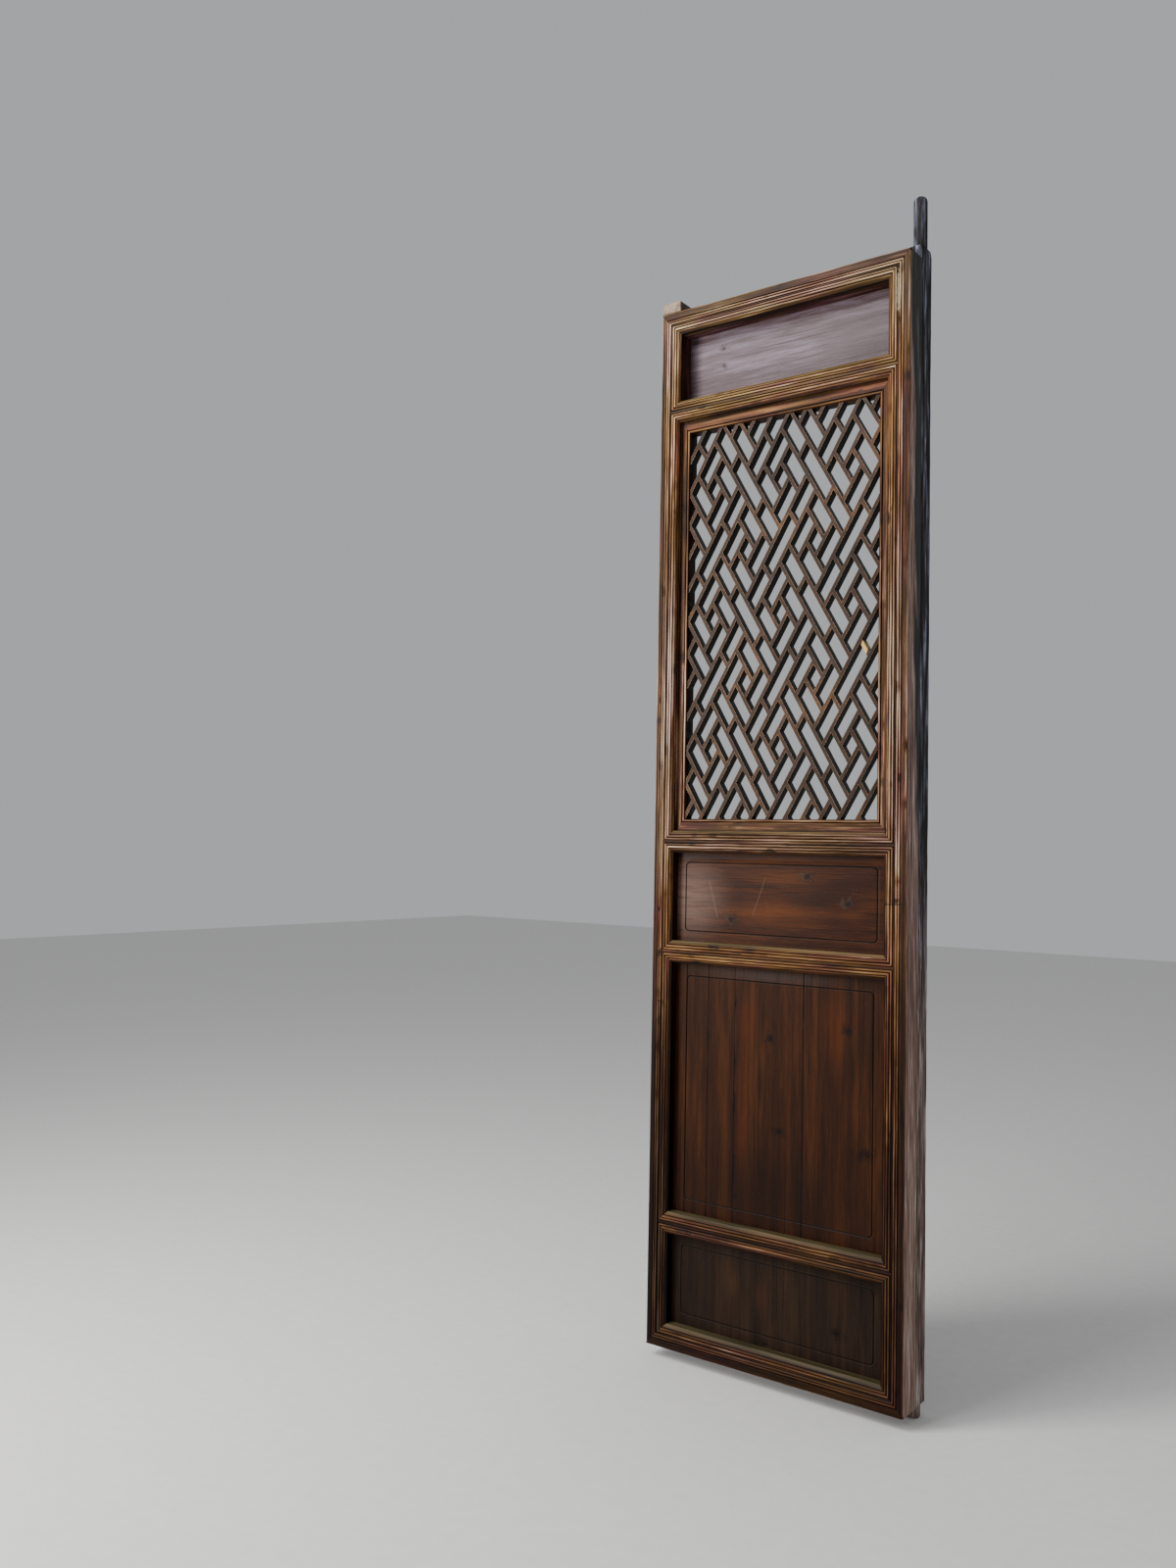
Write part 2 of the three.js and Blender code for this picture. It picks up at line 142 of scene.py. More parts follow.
def add_ring(build, points):
    """Adds one row of (position, tone) points and returns its vertices."""
    tone = build.verts.layers.float["tone"]
    ring = []
    for position, value in points:
        vertex = build.verts.new(position)
        vertex[tone] = value
        ring.append(vertex)
    return ring


def join_rings(build, rings, material=0):
    """Skins a row of rings and caps both ends."""
    for ring, following in zip(rings, rings[1:]):
        for k in range(len(ring)):
            after = (k + 1) % len(ring)
            face = build.faces.new((ring[k], ring[after], following[after], following[k]))
            face.material_index = material
    for cap in (rings[0], rings[-1]):
        build.faces.new(cap).material_index = material


def bead(start, width, groove=SOOT_AND_SHADE):
    """Line of one bead as (s, depth, tone): an arc from the groove to the face and back."""
    line = []
    for step in range(1, BEAD_STEPS + 1):
        lift = max(0, math.sin(math.pi * step / BEAD_STEPS)) ** CREST_FLATNESS
        valley = SOOT_AND_SHADE if step < BEAD_STEPS / 2 else groove
        # The tone darkens the groove with soot and painted shade, and lightens the crest with wear
        # and a painted highlight
        line.append((start + width * step / BEAD_STEPS, GROOVE_DEPTH * (1 - lift),
                     valley + (CREST_WEAR_AND_HIGHLIGHT - valley) * lift ** 1.5))
    return line


def inner_line():
    """Line from an opening's edge to the middle of a rail."""
    beads = EDGE_SLOPE_WIDTH
    hollow = beads + INNER_BEAD_WIDTH + MIDDLE_BEAD_WIDTH
    shoulder = EDGE_SLOPE_WIDTH - SLOPE_SHOULDER_WIDTH
    return [
        (0, EDGE_SLOPE_DROP, 0.3),
        (1, EDGE_SLOPE_DROP - 0.8, 0.5),
        (shoulder / 2, (EDGE_SLOPE_DROP + SLOPE_SHOULDER_DEPTH) / 2, 0.42),
        (shoulder, SLOPE_SHOULDER_DEPTH, 0.8),
        (EDGE_SLOPE_WIDTH, GROOVE_DEPTH, SOOT_AND_SHADE),
        *bead(beads, INNER_BEAD_WIDTH, SHALLOW_GROOVE),
        *bead(beads + INNER_BEAD_WIDTH, MIDDLE_BEAD_WIDTH),
        (hollow + HOLLOW_EASE, HOLLOW_DEPTH, 0.38),
        (hollow + HOLLOW_WIDTH - HOLLOW_EASE, HOLLOW_DEPTH, 0.48),
    ]


def outer_line(edge):
    """Line from the middle of a stile to its outer edge, with a rounded arris."""
    narrow = half_moulding + OUTER_BEAD_WIDTH
    band = narrow + NARROW_BEAD_WIDTH
    line = [
        (half_moulding, GROOVE_DEPTH, SOOT_AND_SHADE),
        *bead(half_moulding, OUTER_BEAD_WIDTH, SHALLOW_GROOVE),
        *bead(narrow, NARROW_BEAD_WIDTH),
        (band + BAND_EASE, 0, 0.5),
        (band + 4 * BAND_EASE, 0.1, 0.42),
    ]
    steps = 5
    # The rounded arris is painted lighter at its middle: a painted highlight
    for step in range(steps + 1):
        turn = math.pi / 2 * step / steps
        line.append((edge - CORNER_RADIUS * (1 - math.sin(turn)),
                     CORNER_RADIUS * (1 - math.cos(turn)), 0.4 + 0.35 * math.sin(2 * turn)))
    return line


class Member:
    """A straight member on the leaf's face: it places (s, depth, t) points beside one edge."""

    def __init__(self, along, edge, outward):
        self.along = along
        self.edge = edge
        self.outward = outward
        self.seed = rng.uniform(0, 90)

    def place(self, s, depth, t):
        across = self.edge + self.outward * s
        if self.along == "z":
            return spot(across, depth, t)
        return spot(t, depth, across)


# Dents and nicks that wear has left on the mouldings' crests
DENT_SPACING = 95
DENT_REACH = (4, 11)
DENT_DEPTH = (0.25, 1.1)


def make_dents(start, end, low, high):
    count = int(abs(end - start) / DENT_SPACING)
    return [
        (rng.uniform(start, end), rng.uniform(low, high), rng.uniform(*DENT_REACH),
         rng.uniform(*DENT_DEPTH) * rng.random())
        for _ in range(count)
    ]


def dent_at(dents, t, s):
    """How far the dents push in a point of the face."""
    depth = 0
    for centre, across, reach, deep in dents:
        gap = math.hypot((t - centre) / 1.8, s - across) / reach
        if gap < 1:
            depth = max(depth, deep * (1 - gap * gap))
    return depth


WAVER = 0.35
WAVER_LENGTH = 70


def wavering(member, t, s):
    """A slow sideways wander of a hand-planed moulding."""
    sample = Vector((t / WAVER_LENGTH, s / 40, member.seed))
    return WAVER * noise.noise(sample)


def add_strip(build, member, line, start, end, back):
    """A moulded strip. start and end give t for a distance s, so the ends can be mitred."""
    first, last = line[0][0], line[-1][0]
    outline = [*line, (last, back, SHADE), (first, back, SHADE)]
    span = abs(end(first) - start(first))
    rows = max(2, round(span / ROW_SPACING))
    dents = make_dents(start(first), end(first), first, last)
    rings = []
    for row in range(rows + 1):
        share = row / rows
        ring = []
        for s, depth, tone in outline:
            t = start(s) * (1 - share) + end(s) * share
            inside = 0 < row < rows and first < s < last and depth < back
            if inside:
                push = dent_at(dents, t, s)
                depth = max(0.02, depth + push + 0.15 * abs(wavering(member, t, s)))
                tone = max(SOOT_AND_SHADE, tone - 0.25 * push)
                s = min(max(s + wavering(member, t, s), first), last)
            ring.append((member.place(s, depth, t), tone))
        rings.append(add_ring(build, ring))
    join_rings(build, rings)


BACK_ARRIS = 0.8


def add_block(build, along, x, d, z, tone):
    """A block between pairs of coordinates, with small chamfers on its two long back arrises."""
    x0, x1 = x
    d0, d1 = d
    z0, z1 = z
    eased = d1 - BACK_ARRIS
    if along == "x":
        low, high = z0 + BACK_ARRIS, z1 - BACK_ARRIS
        corners = [(d0, z0), (eased, z0), (d1, low), (d1, high), (eased, z1), (d0, z1)]
        points = [[spot(t, a, b) for a, b in corners] for t in spread(x0, x1)]
    else:
        low, high = x0 + BACK_ARRIS, x1 - BACK_ARRIS
        corners = [(x0, d0), (x0, eased), (low, d1), (high, d1), (x1, eased), (x1, d0)]
        points = [[spot(a, b, t) for a, b in corners] for t in spread(z0, z1)]
    join_rings(build, [add_ring(build, [(point, tone) for point in ring]) for ring in points])


def spread(start, end, spacing=60):
    steps = max(1, round(abs(end - start) / spacing))
    return [start + (end - start) * step / steps for step in range(steps + 1)]


# Nodes of the materials

def add_node(tree, kind, inputs=None, **settings):
    node = tree.nodes.new("ShaderNode" + kind)
    for key, value in settings.items():
        setattr(node, key, value)
    for key, value in (inputs or {}).items():
        if isinstance(value, bpy.types.NodeSocket):
            tree.links.new(value, node.inputs[key])
        else:
            node.inputs[key].default_value = value
    return node


def maths(tree, operation, first, second=0.0):
    return add_node(tree, "Math", {0: first, 1: second}, operation=operation).outputs[0]


def total(tree, first, second):
    return maths(tree, "ADD", first, second)


def difference(tree, first, second):
    return maths(tree, "SUBTRACT", first, second)


def product(tree, first, second):
    return maths(tree, "MULTIPLY", first, second)


def absolute(tree, value):
    return maths(tree, "ABSOLUTE", value)


def vector_maths(tree, operation, first, second=(0, 0, 0)):
    return add_node(tree, "VectorMath", {0: first, 1: second}, operation=operation).outputs


def mixed(tree, factor, first, second, blend="MIX"):
    node = add_node(tree, "Mix", {0: factor, 6: first, 7: second}, data_type="RGBA",
                    blend_type=blend)
    return node.outputs[2]


def ranged_line(tree, value, low, high, to_low=0.0, to_high=1.0, curve="LINEAR"):
    """A value moved from one range to another, and held at the ends."""
    node = add_node(tree, "MapRange", {"Value": value, "From Min": low, "From Max": high,
                                       "To Min": to_low, "To Max": to_high},
                    interpolation_type=curve)
    return node.outputs[0]


def ranged(tree, value, low, high, to_low=0.0, to_high=1.0):
    """The same, with a soft start and end."""
    return ranged_line(tree, value, low, high, to_low, to_high, "SMOOTHSTEP")


def ramp(tree, factor, stops):
    """A colour ramp of (place, colour) stops."""
    node = add_node(tree, "ValToRGB", {"Fac": factor})
    bands = node.color_ramp
    while len(bands.elements) < len(stops):
        bands.elements.new(0.5)
    for band, (place, colour) in zip(bands.elements, stops):
        band.position = place
        band.color = colour
    return node.outputs["Color"]


def colour(red, green, blue):
    """A colour given as the eye sees it, from 0 to 255, as linear values."""
    def linear(value):
        value /= 255
        return value / 12.92 if value <= 0.04045 else ((value + 0.055) / 1.055) ** 2.4
    return (linear(red), linear(green), linear(blue), 1.0)


def leaf_coordinates(tree):
    return add_node(tree, "TexCoord").outputs["Object"]


GRAIN_ALONG = 1.4
GRAIN_ACROSS = 42.0


def grain_vector(tree, axis, across=GRAIN_ACROSS, along=GRAIN_ALONG, shift=(0, 0, 0)):
    """Coordinates drawn out along one axis, so that a noise looks like grain."""
    scale = {"x": (along, across, across), "z": (across, across, along)}[axis]
    node = add_node(tree, "Mapping", {"Vector": leaf_coordinates(tree), "Scale": scale,
                                      "Location": shift})
    return node.outputs[0]


def noise_of(tree, vector, scale, detail=4.0, rough=0.55, warp=0.0):
    node = add_node(tree, "TexNoise", {"Vector": vector, "Scale": scale, "Detail": detail,
                                       "Roughness": rough, "Distortion": warp})
    return node.outputs["Fac"]


RAGGED_SCALE = 70.0


def near(tree, x, d, z, reach, soft=0.5, ragged=0.0):
    """1 at a place on the leaf and 0 beyond its reach, given for each axis in millimetres."""
    shifted = vector_maths(tree, "SUBTRACT", leaf_coordinates(tree), spot(x, d, z))[0]
    scaled = vector_maths(tree, "MULTIPLY", shifted, [1 / (size * MM) for size in reach])[0]
    length = vector_maths(tree, "LENGTH", scaled)["Value"]
    if ragged:
        edge = noise_of(tree, leaf_coordinates(tree), RAGGED_SCALE, 3.0)
        length = total(tree, length, ranged_line(tree, edge, 0.3, 0.7, -ragged, ragged))
    return ranged(tree, length, 1.0, soft)


def new_material(name):
    material = bpy.data.materials.new(name)
    material.use_nodes = True
    tree = material.node_tree
    return material, tree, tree.nodes["Principled BSDF"]


def raise_bump(tree, shader, height, distance):
    """Fine relief from a height of 0 to 1, over a distance in millimetres."""
    node = add_node(tree, "Bump", {"Height": height, "Distance": distance * MM, "Strength": 1.0})
    tree.links.new(node.outputs[0], shader.inputs["Normal"])


def tone_of(tree):
    return add_node(tree, "Attribute", attribute_name="tone").outputs["Fac"]


def place_of(tree):
    """The shaded point as X, Y and Z in the frame's metres."""
    return add_node(tree, "SeparateXYZ", {0: leaf_coordinates(tree)}).outputs


def facing_of(tree):
    """The surface's own direction as X, Y and Z."""
    normal = add_node(tree, "TexCoord").outputs["Normal"]
    return add_node(tree, "SeparateXYZ", {0: normal}).outputs


def height_on_leaf(tree):
    """Height over the leaf's foot as a share of its height."""
    foot = spot(0, 0, 0).z
    return ranged_line(tree, place_of(tree)["Z"], foot, foot + leaf_height * MM)


def depth_in_leaf(tree):
    """Depth behind the leaf's front, in metres."""
    return difference(tree, place_of(tree)["Y"], spot(0, 0, 0).y)


# Dark knots and stains on the frame's face, as x, z, width and height from their middles
FRAME_MARKS = [
    (672, 1166, 20, 9), (116, 1290, 20, 8), (345, 1275, 28, 9), (182, 1030, 22, 8),
    (25, 1005, 15, 14), (19, 1120, 6, 9), (30, 880, 12, 4),
]


def grey(value):
    return (value, value, value, 1)


BLACK = grey(0)
WHITE = grey(1)

# How light the wood looks by height over the leaf's foot as a share of the whole: darker wood with
# painted shade low down, and a bluish painted glare about the middle and at the top
HEIGHT_TONES_AND_LIGHT = [
    (0.0, (0.17, 0.13, 0.13, 1)),
    (0.10, (0.17, 0.13, 0.13, 1)),
    (0.20, (0.21, 0.15, 0.14, 1)),
    (0.30, (0.32, 0.25, 0.22, 1)),
    (0.40, (0.84, 0.80, 0.92, 1)),
    (0.50, (1.2, 1.22, 1.65, 1)),
    (0.60, (1.43, 1.4, 1.7, 1)),
    (0.70, (0.86, 0.8, 0.88, 1)),
    (0.80, (0.8, 0.74, 0.72, 1)),
    (0.90, (1.27, 1.26, 1.36, 1)),
    (1.0, (1.3, 1.58, 2.4, 1)),
]

# The same wood tone and painted light and shade by height on the rails, which are lighter low down
RAIL_TONES_AND_LIGHT = [
    (0.0, (0.45, 0.42, 0.43, 1)),
    (0.15, (0.54, 0.47, 0.44, 1)),
    (0.38, (0.9, 0.88, 0.95, 1)),
    (0.48, (0.78, 0.78, 0.84, 1)),
    (0.89, (1.1, 1.32, 1.6, 1)),
    (1.0, (1.13, 1.36, 1.65, 1)),
]

# Where the crests are painted pale, in the same shares: a painted glare together with pale wear
PALE_WEAR_AND_GLARE = [
    (0.0, BLACK), (0.42, grey(0.04)), (0.50, grey(0.4)), (0.60, WHITE), (0.70, grey(0.4)),
    (0.78, grey(0.1)), (0.90, grey(0.1)), (0.98, grey(0.4)),
]

# Olive dust and painted light from above on the ledges, by height as a share, thinner and darker
# near the foot
DUST_AND_LEDGE_LIGHT = [(0.0, colour(98, 90, 64)), (0.6, colour(126, 108, 70))]

# How light a reveal is painted by its depth as a share of the reach below, in metres: painted
# shade, darkest behind the face, and lighter and purple-brown further in
REVEAL_DEPTH_SHADE_REACH = 0.08
REVEAL_DEPTH_SHADE = [
    (0.0, WHITE), (0.10, WHITE), (0.125, (0.2, 0.17, 0.15, 1)), (0.36, (0.26, 0.2, 0.2, 1)),
    (0.40, (0.6, 0.42, 1.1, 1)), (1.0, (0.6, 0.42, 1.1, 1)),
]


def facing_up(tree):
    """1 on the ledges and slopes that look up behind the face, where dust settles and light from
    above is painted.
    """
    behind = ranged(tree, depth_in_leaf(tree), GROOVE_DEPTH * MM, 0.004)
    return product(tree, behind, ranged(tree, facing_of(tree)["Z"], 0.4, 0.7))


def painted_reveal_shade(tree):
    return ramp(tree, ranged_line(tree, depth_in_leaf(tree), 0, REVEAL_DEPTH_SHADE_REACH), REVEAL_DEPTH_SHADE)


def panel_reveal(tree):
    """1 on the sides of the panels' openings, and 0 on the grille's, the outside and the back."""
    across = difference(tree, place_of(tree)["X"], spot(leaf_width / 2, 0, 0).x)
    reach = (leaf_width / 2 - stile_width + 2) * MM
    inside = ranged_line(tree, absolute(tree, across), reach, reach + MM, 1.0, 0.0)
    sideways = ranged_line(tree, absolute(tree, facing_of(tree)["Y"]), 0.5, 0.6, 1.0, 0.0)
    levels = [openings["foot"][0] - 2, *openings["grille"], openings["top"][1] + 2]
    first, grille_low, grille_high, last = (level / leaf_height for level in levels)
    by_panels = ramp(tree, height_on_leaf(tree), [
        (0.0, BLACK), (first - 0.004, BLACK), (first, WHITE), (grille_low - 0.015, WHITE),
        (grille_low - 0.005, BLACK), (grille_high + 0.005, BLACK), (grille_high + 0.015, WHITE),
        (last, WHITE), (last + 0.004, BLACK), (1.0, BLACK),
    ])
    return product(tree, by_panels, product(tree, inside, sideways))


def outer_side(tree):
    """1 on the right stile's outer side, and 0 elsewhere."""
    aside = absolute(tree, difference(tree, place_of(tree)["X"], spot(leaf_width, 0, 0).x))
    on_side = ranged(tree, aside, 0.0006, 0.0016, 1.0, 0.0)
    behind = ranged(tree, depth_in_leaf(tree), 0.002, 0.005)
    return product(tree, on_side, behind)


# How deep the rubbed brown band on the outer side runs, by height as a share: a fifth is 20 mm
BROWN_BAND = [
    (0.0, WHITE), (0.36, WHITE), (0.55, grey(0.5)), (0.85, grey(0.34)), (0.95, grey(0.14)),
    (1.0, grey(0.05)),
]


def side_wood(tree):
    """The outer side: streaky brown in front, and grey-black behind."""
    streaks = noise_of(tree, grain_vector(tree, "z", 90, 3), 2.2, 5.0, 0.7)
    broad = noise_of(tree, grain_vector(tree, "z", 25, 3), 2.0, 3.0)
    brown = ramp(tree, streaks, [
        (0.34, colour(34, 22, 18)), (0.46, colour(112, 84, 72)), (0.56, colour(150, 122, 110)),
        (0.68, colour(206, 188, 180)),
    ])
    black = ramp(tree, broad, [
        (0.35, colour(24, 22, 22)), (0.55, colour(46, 43, 42)), (0.72, colour(98, 98, 102)),
    ])
    reach = product(tree, ramp(tree, height_on_leaf(tree), BROWN_BAND), 0.1)
    reach = total(tree, reach, ranged_line(tree, broad, 0.3, 0.7, -0.012, 0.012))
    past = difference(tree, depth_in_leaf(tree), reach)
    return mixed(tree, ranged(tree, past, -0.004, 0.006), brown, black)


def frame_wood(name, axis, tints_and_light=HEIGHT_TONES_AND_LIGHT, relief=1.0, reveals=True):
    """Oiled softwood, with soot and painted shade in its grooves, wear and painted highlights on
    its crests, and darker wood with painted shade near the foot.
    """
    material, tree, shader = new_material(name)
    grain = noise_of(tree, grain_vector(tree, axis), 3.0, 5.0, 0.6, 0.3)
    fibres = noise_of(tree, grain_vector(tree, axis, 300, 6), 2.5, 3.0, 0.6)
    patches = noise_of(tree, grain_vector(tree, axis, 14, 2.5), 2.4, 3.0)
    blots = noise_of(tree, grain_vector(tree, axis, 30, 9, (3, 5, 7)), 1.6, 2.0)
    bands = noise_of(tree, grain_vector(tree, axis, 22, 1.2, (9, 1, 4)), 3.0, 2.0)
    tone = ranged_line(tree, tone_of(tree), 0, 1, PLAIN - relief / 2, PLAIN + relief / 2)
    tone = total(tree, tone, ranged_line(tree, bands, 0.3, 0.7, -0.1, 0.1))
    tone = total(tree, tone, ranged_line(tree, grain, 0.2, 0.8, -0.28, 0.28))
    tone = total(tree, tone, ranged_line(tree, fibres, 0.25, 0.75, -0.13, 0.13))
    golden = ramp(tree, tone, [
        (0.0, colour(4, 2, 1)), (0.25, colour(17, 9, 3)), (0.5, colour(62, 37, 9)),
        (0.72, colour(118, 79, 32)), (0.88, colour(174, 134, 80)), (1.0, colour(226, 200, 158)),
    ])
    russet = ramp(tree, tone, [
        (0.0, colour(5, 2, 2)), (0.25, colour(18, 8, 5)), (0.5, colour(62, 30, 16)),
        (0.72, colour(112, 62, 36)), (0.88, colour(168, 122, 94)), (1.0, colour(222, 194, 174)),
    ])
    wood = mixed(tree, ranged(tree, patches, 0.44, 0.64), golden, russet)
    wood = mixed(tree, ranged(tree, blots, 0.66, 0.74, 0.0, 0.75), wood, colour(34, 24, 24))
    # Darker wood and painted shade low down, and painted glare higher up, by height
    wood = mixed(tree, 1.0, wood, ramp(tree, height_on_leaf(tree), tints_and_light), "MULTIPLY")
    # Painted glare and pale wear on the crests, by height
    crest_wear_and_glare = product(tree, ramp(tree, height_on_leaf(tree), PALE_WEAR_AND_GLARE),
                       ranged(tree, tone, 0.5, 1.0, 0.0, 0.85))
    wood = mixed(tree, crest_wear_and_glare, wood, colour(218, 203, 188))
    if reveals:
        # Painted shade in the panels' reveals, by depth
        wood = mixed(tree, panel_reveal(tree), wood,
                     mixed(tree, 1.0, wood, painted_reveal_shade(tree), "MULTIPLY"))
        # Ledges that face up get dust and a painted light from above
        dust_and_ledge_light = product(tree, facing_up(tree), ranged(tree, grain, 0.25, 0.7, 0.15, 0.6))
        wood = mixed(tree, dust_and_ledge_light, wood, ramp(tree, height_on_leaf(tree), DUST_AND_LEDGE_LIGHT))
    wood = mixed(tree, outer_side(tree), wood, side_wood(tree))
    for x, z, wide, high in FRAME_MARKS:
        mark = product(tree, near(tree, x, 0, z, (wide, 9, high), 0.3, 0.5), 0.8)
        wood = mixed(tree, mark, wood, colour(22, 15, 14))
    # A pale rubbed spot with a painted highlight on the right stile's bead near the top
    rubbed_and_lit = product(tree, near(tree, 667, 0, 2610, (6, 7, 62), 0.6, 0.4), 0.5)
    wood = mixed(tree, rubbed_and_lit, wood, colour(186, 176, 150))
    wood = mixed(tree, stroke(tree, (618, 1157), (692, 1159), 0, 2.0), wood, colour(12, 9, 8))
    tree.links.new(wood, shader.inputs["Base Color"])
    tree.links.new(ranged_line(tree, fibres, 0.2, 0.8, 0.36, 0.6), shader.inputs["Roughness"])
    shader.inputs["Specular IOR Level"].default_value = 0.12
    height = total(tree, fibres, product(tree, grain, 1.5))
    raise_bump(tree, shader, height, 0.35)
    return material


STROKE_FADE = 0.006


def stroke(tree, start, end, depth, width):
    """1 along a straight scratch between two (x, z) points of the leaf at some depth."""
    first, last = spot(start[0], depth, start[1]), spot(end[0], depth, end[1])
    length = (last - first).length
    along = (last - first).normalized()
    across = Vector((-along.z, 0, along.x))
    offset = vector_maths(tree, "SUBTRACT", leaf_coordinates(tree), first)[0]
    run = vector_maths(tree, "DOT_PRODUCT", offset, along)["Value"]
    aside = vector_maths(tree, "DOT_PRODUCT", offset, across)["Value"]
    thin = ranged(tree, absolute(tree, aside), 0.0, width * MM, 1.0, 0.0)
    begun = ranged(tree, run, 0.0, STROKE_FADE)
    ended = ranged(tree, run, length - STROKE_FADE, length, 1.0, 0.0)
    return product(tree, thin, product(tree, begun, ended))


def fret_wood():
    """Brown-stained bars with paler arrises, rubbed and with a painted highlight, and dark sides
    of painted shade.
    """
    material, tree, shader = new_material("fret_wood")
    grain = noise_of(tree, leaf_coordinates(tree), 60.0, 2.0)
    patches = noise_of(tree, leaf_coordinates(tree), 7.0, 3.0)
    tone = total(tree, tone_of(tree), ranged_line(tree, grain, 0.25, 0.75, -0.08, 0.08))
    tone = total(tree, tone, ranged_line(tree, patches, 0.3, 0.7, -0.1, 0.1))
    wood = ramp(tree, tone, [
        (0.0, colour(8, 5, 4)), (0.2, colour(20, 12, 8)), (0.42, colour(54, 33, 19)),
        (0.7, colour(120, 82, 52)), (1.0, colour(226, 188, 148)),
    ])
    new_bar = near(tree, 579, 22, 1768, (9, 30, 22), 0.8)
    repaired = mixed(tree, new_bar, wood, colour(206, 166, 96))
    tree.links.new(repaired, shader.inputs["Base Color"])
    tree.links.new(ranged_line(tree, grain, 0.2, 0.8, 0.4, 0.6), shader.inputs["Roughness"])
    shader.inputs["Specular IOR Level"].default_value = 0.15
    raise_bump(tree, shader, grain, 0.25)
    return material


class Board(NamedTuple):
    """What one panel looks like. Places and sizes are in millimetres on the leaf.

    Patches are (x, z, width, height, tint, strength), knots are (x, z, size), and scratches are
    (start, end, width, tint). The edge colour is a painted highlight, used on the field's edge, on
    knot rims and for glints, and the knot share is how much of it a knot's rim shows.
    """

    name: str
    axis: str
    depth: float
    shades: tuple
    edge_highlight: tuple
    rough: float
    specular: float
    streaks: float
    patches: tuple
    knots: tuple
    knot_highlight: float = 0.0
    scratches: tuple = ()


TOP_BOARD_DEPTH = 54
LOWER_BOARD_DEPTH = 30
WARM = colour(92, 48, 18)
ORANGE = colour(78, 36, 10)
SKIRT_DARK = colour(15, 8, 7)

TOP_BOARD = Board(
    "upper_panel_wood", "x", TOP_BOARD_DEPTH,
    # The greyish mauve of these shades is partly a painted sheen
    shades=(colour(56, 38, 40), colour(86, 68, 72), colour(118, 104, 114)),
    edge_highlight=colour(170, 164, 168), rough=0.34, specular=0.2, streaks=0.5,
    patches=((200, 2480, 130, 14, colour(96, 62, 60), 0.6),
             (540, 2550, 160, 90, colour(70, 56, 54), 0.6)),
    knots=((158, 2596, 9), (159, 2552, 7)),
)
WAIST_BOARD = Board(
    "waist_panel_wood", "x", LOWER_BOARD_DEPTH,
    shades=(colour(24, 9, 5), colour(48, 22, 10), colour(80, 42, 14)),
    edge_highlight=colour(124, 98, 82), rough=0.32, specular=0.08, streaks=0.24,
    # The second patch, at the board's left, is a painted glare; the others are the board's colour
    patches=((330, 1120, 190, 60, WARM, 0.6), (90, 1150, 150, 150, colour(108, 86, 76), 0.8),
             (500, 1180, 150, 70, colour(30, 12, 9), 0.7)),
    knots=((430, 1215, 13), (538, 1154, 12), (219, 1100, 13)),
    knot_highlight=0.12,
    scratches=(((152, 1199), (179, 1100), 0.9, colour(190, 160, 140)),
               ((316, 1211), (279, 1111), 0.9, colour(180, 146, 118)),
               ((316, 1160), (324, 1118), 0.6, colour(150, 110, 80))),
)
SKIRT_BOARD = Board(
    "skirt_panel_wood", "z", LOWER_BOARD_DEPTH,
    shades=(colour(24, 12, 6), colour(46, 23, 10), colour(70, 37, 14)),
    edge_highlight=colour(84, 62, 48), rough=0.38, specular=0.08, streaks=0.24,
    patches=((272, 844, 40, 130, ORANGE, 0.5), (505, 852, 56, 150, ORANGE, 0.5),
             (258, 683, 34, 120, ORANGE, 0.4), (254, 540, 22, 150, ORANGE, 0.45),
             (312, 860, 9, 90, SKIRT_DARK, 0.7), (307, 700, 10, 90, SKIRT_DARK, 0.8),
             (555, 760, 9, 90, SKIRT_DARK, 0.6), (330, 430, 300, 190, SKIRT_DARK, 0.62),
             # The last patch, along the board's top, is a painted sheen
             (330, 965, 290, 22, colour(66, 54, 50), 0.8)),
    knots=((332, 812, 10), (544, 852, 10), (360, 589, 11), (591, 566, 14), (235, 412, 5)),
)
FOOT_BOARD = Board(
    "foot_panel_wood", "z", LOWER_BOARD_DEPTH,
    shades=(colour(22, 15, 11), colour(36, 24, 17), colour(50, 34, 22)),
    edge_highlight=colour(92, 78, 64), rough=0.42, specular=0.08, streaks=0.26,
    patches=((235, 200, 30, 60, colour(60, 36, 20), 0.5),
             (317, 180, 34, 60, colour(60, 34, 20), 0.5),
             (407, 165, 14, 110, colour(56, 44, 26), 0.6)),
    knots=((520, 140, 10), (330, 70, 8)),
)


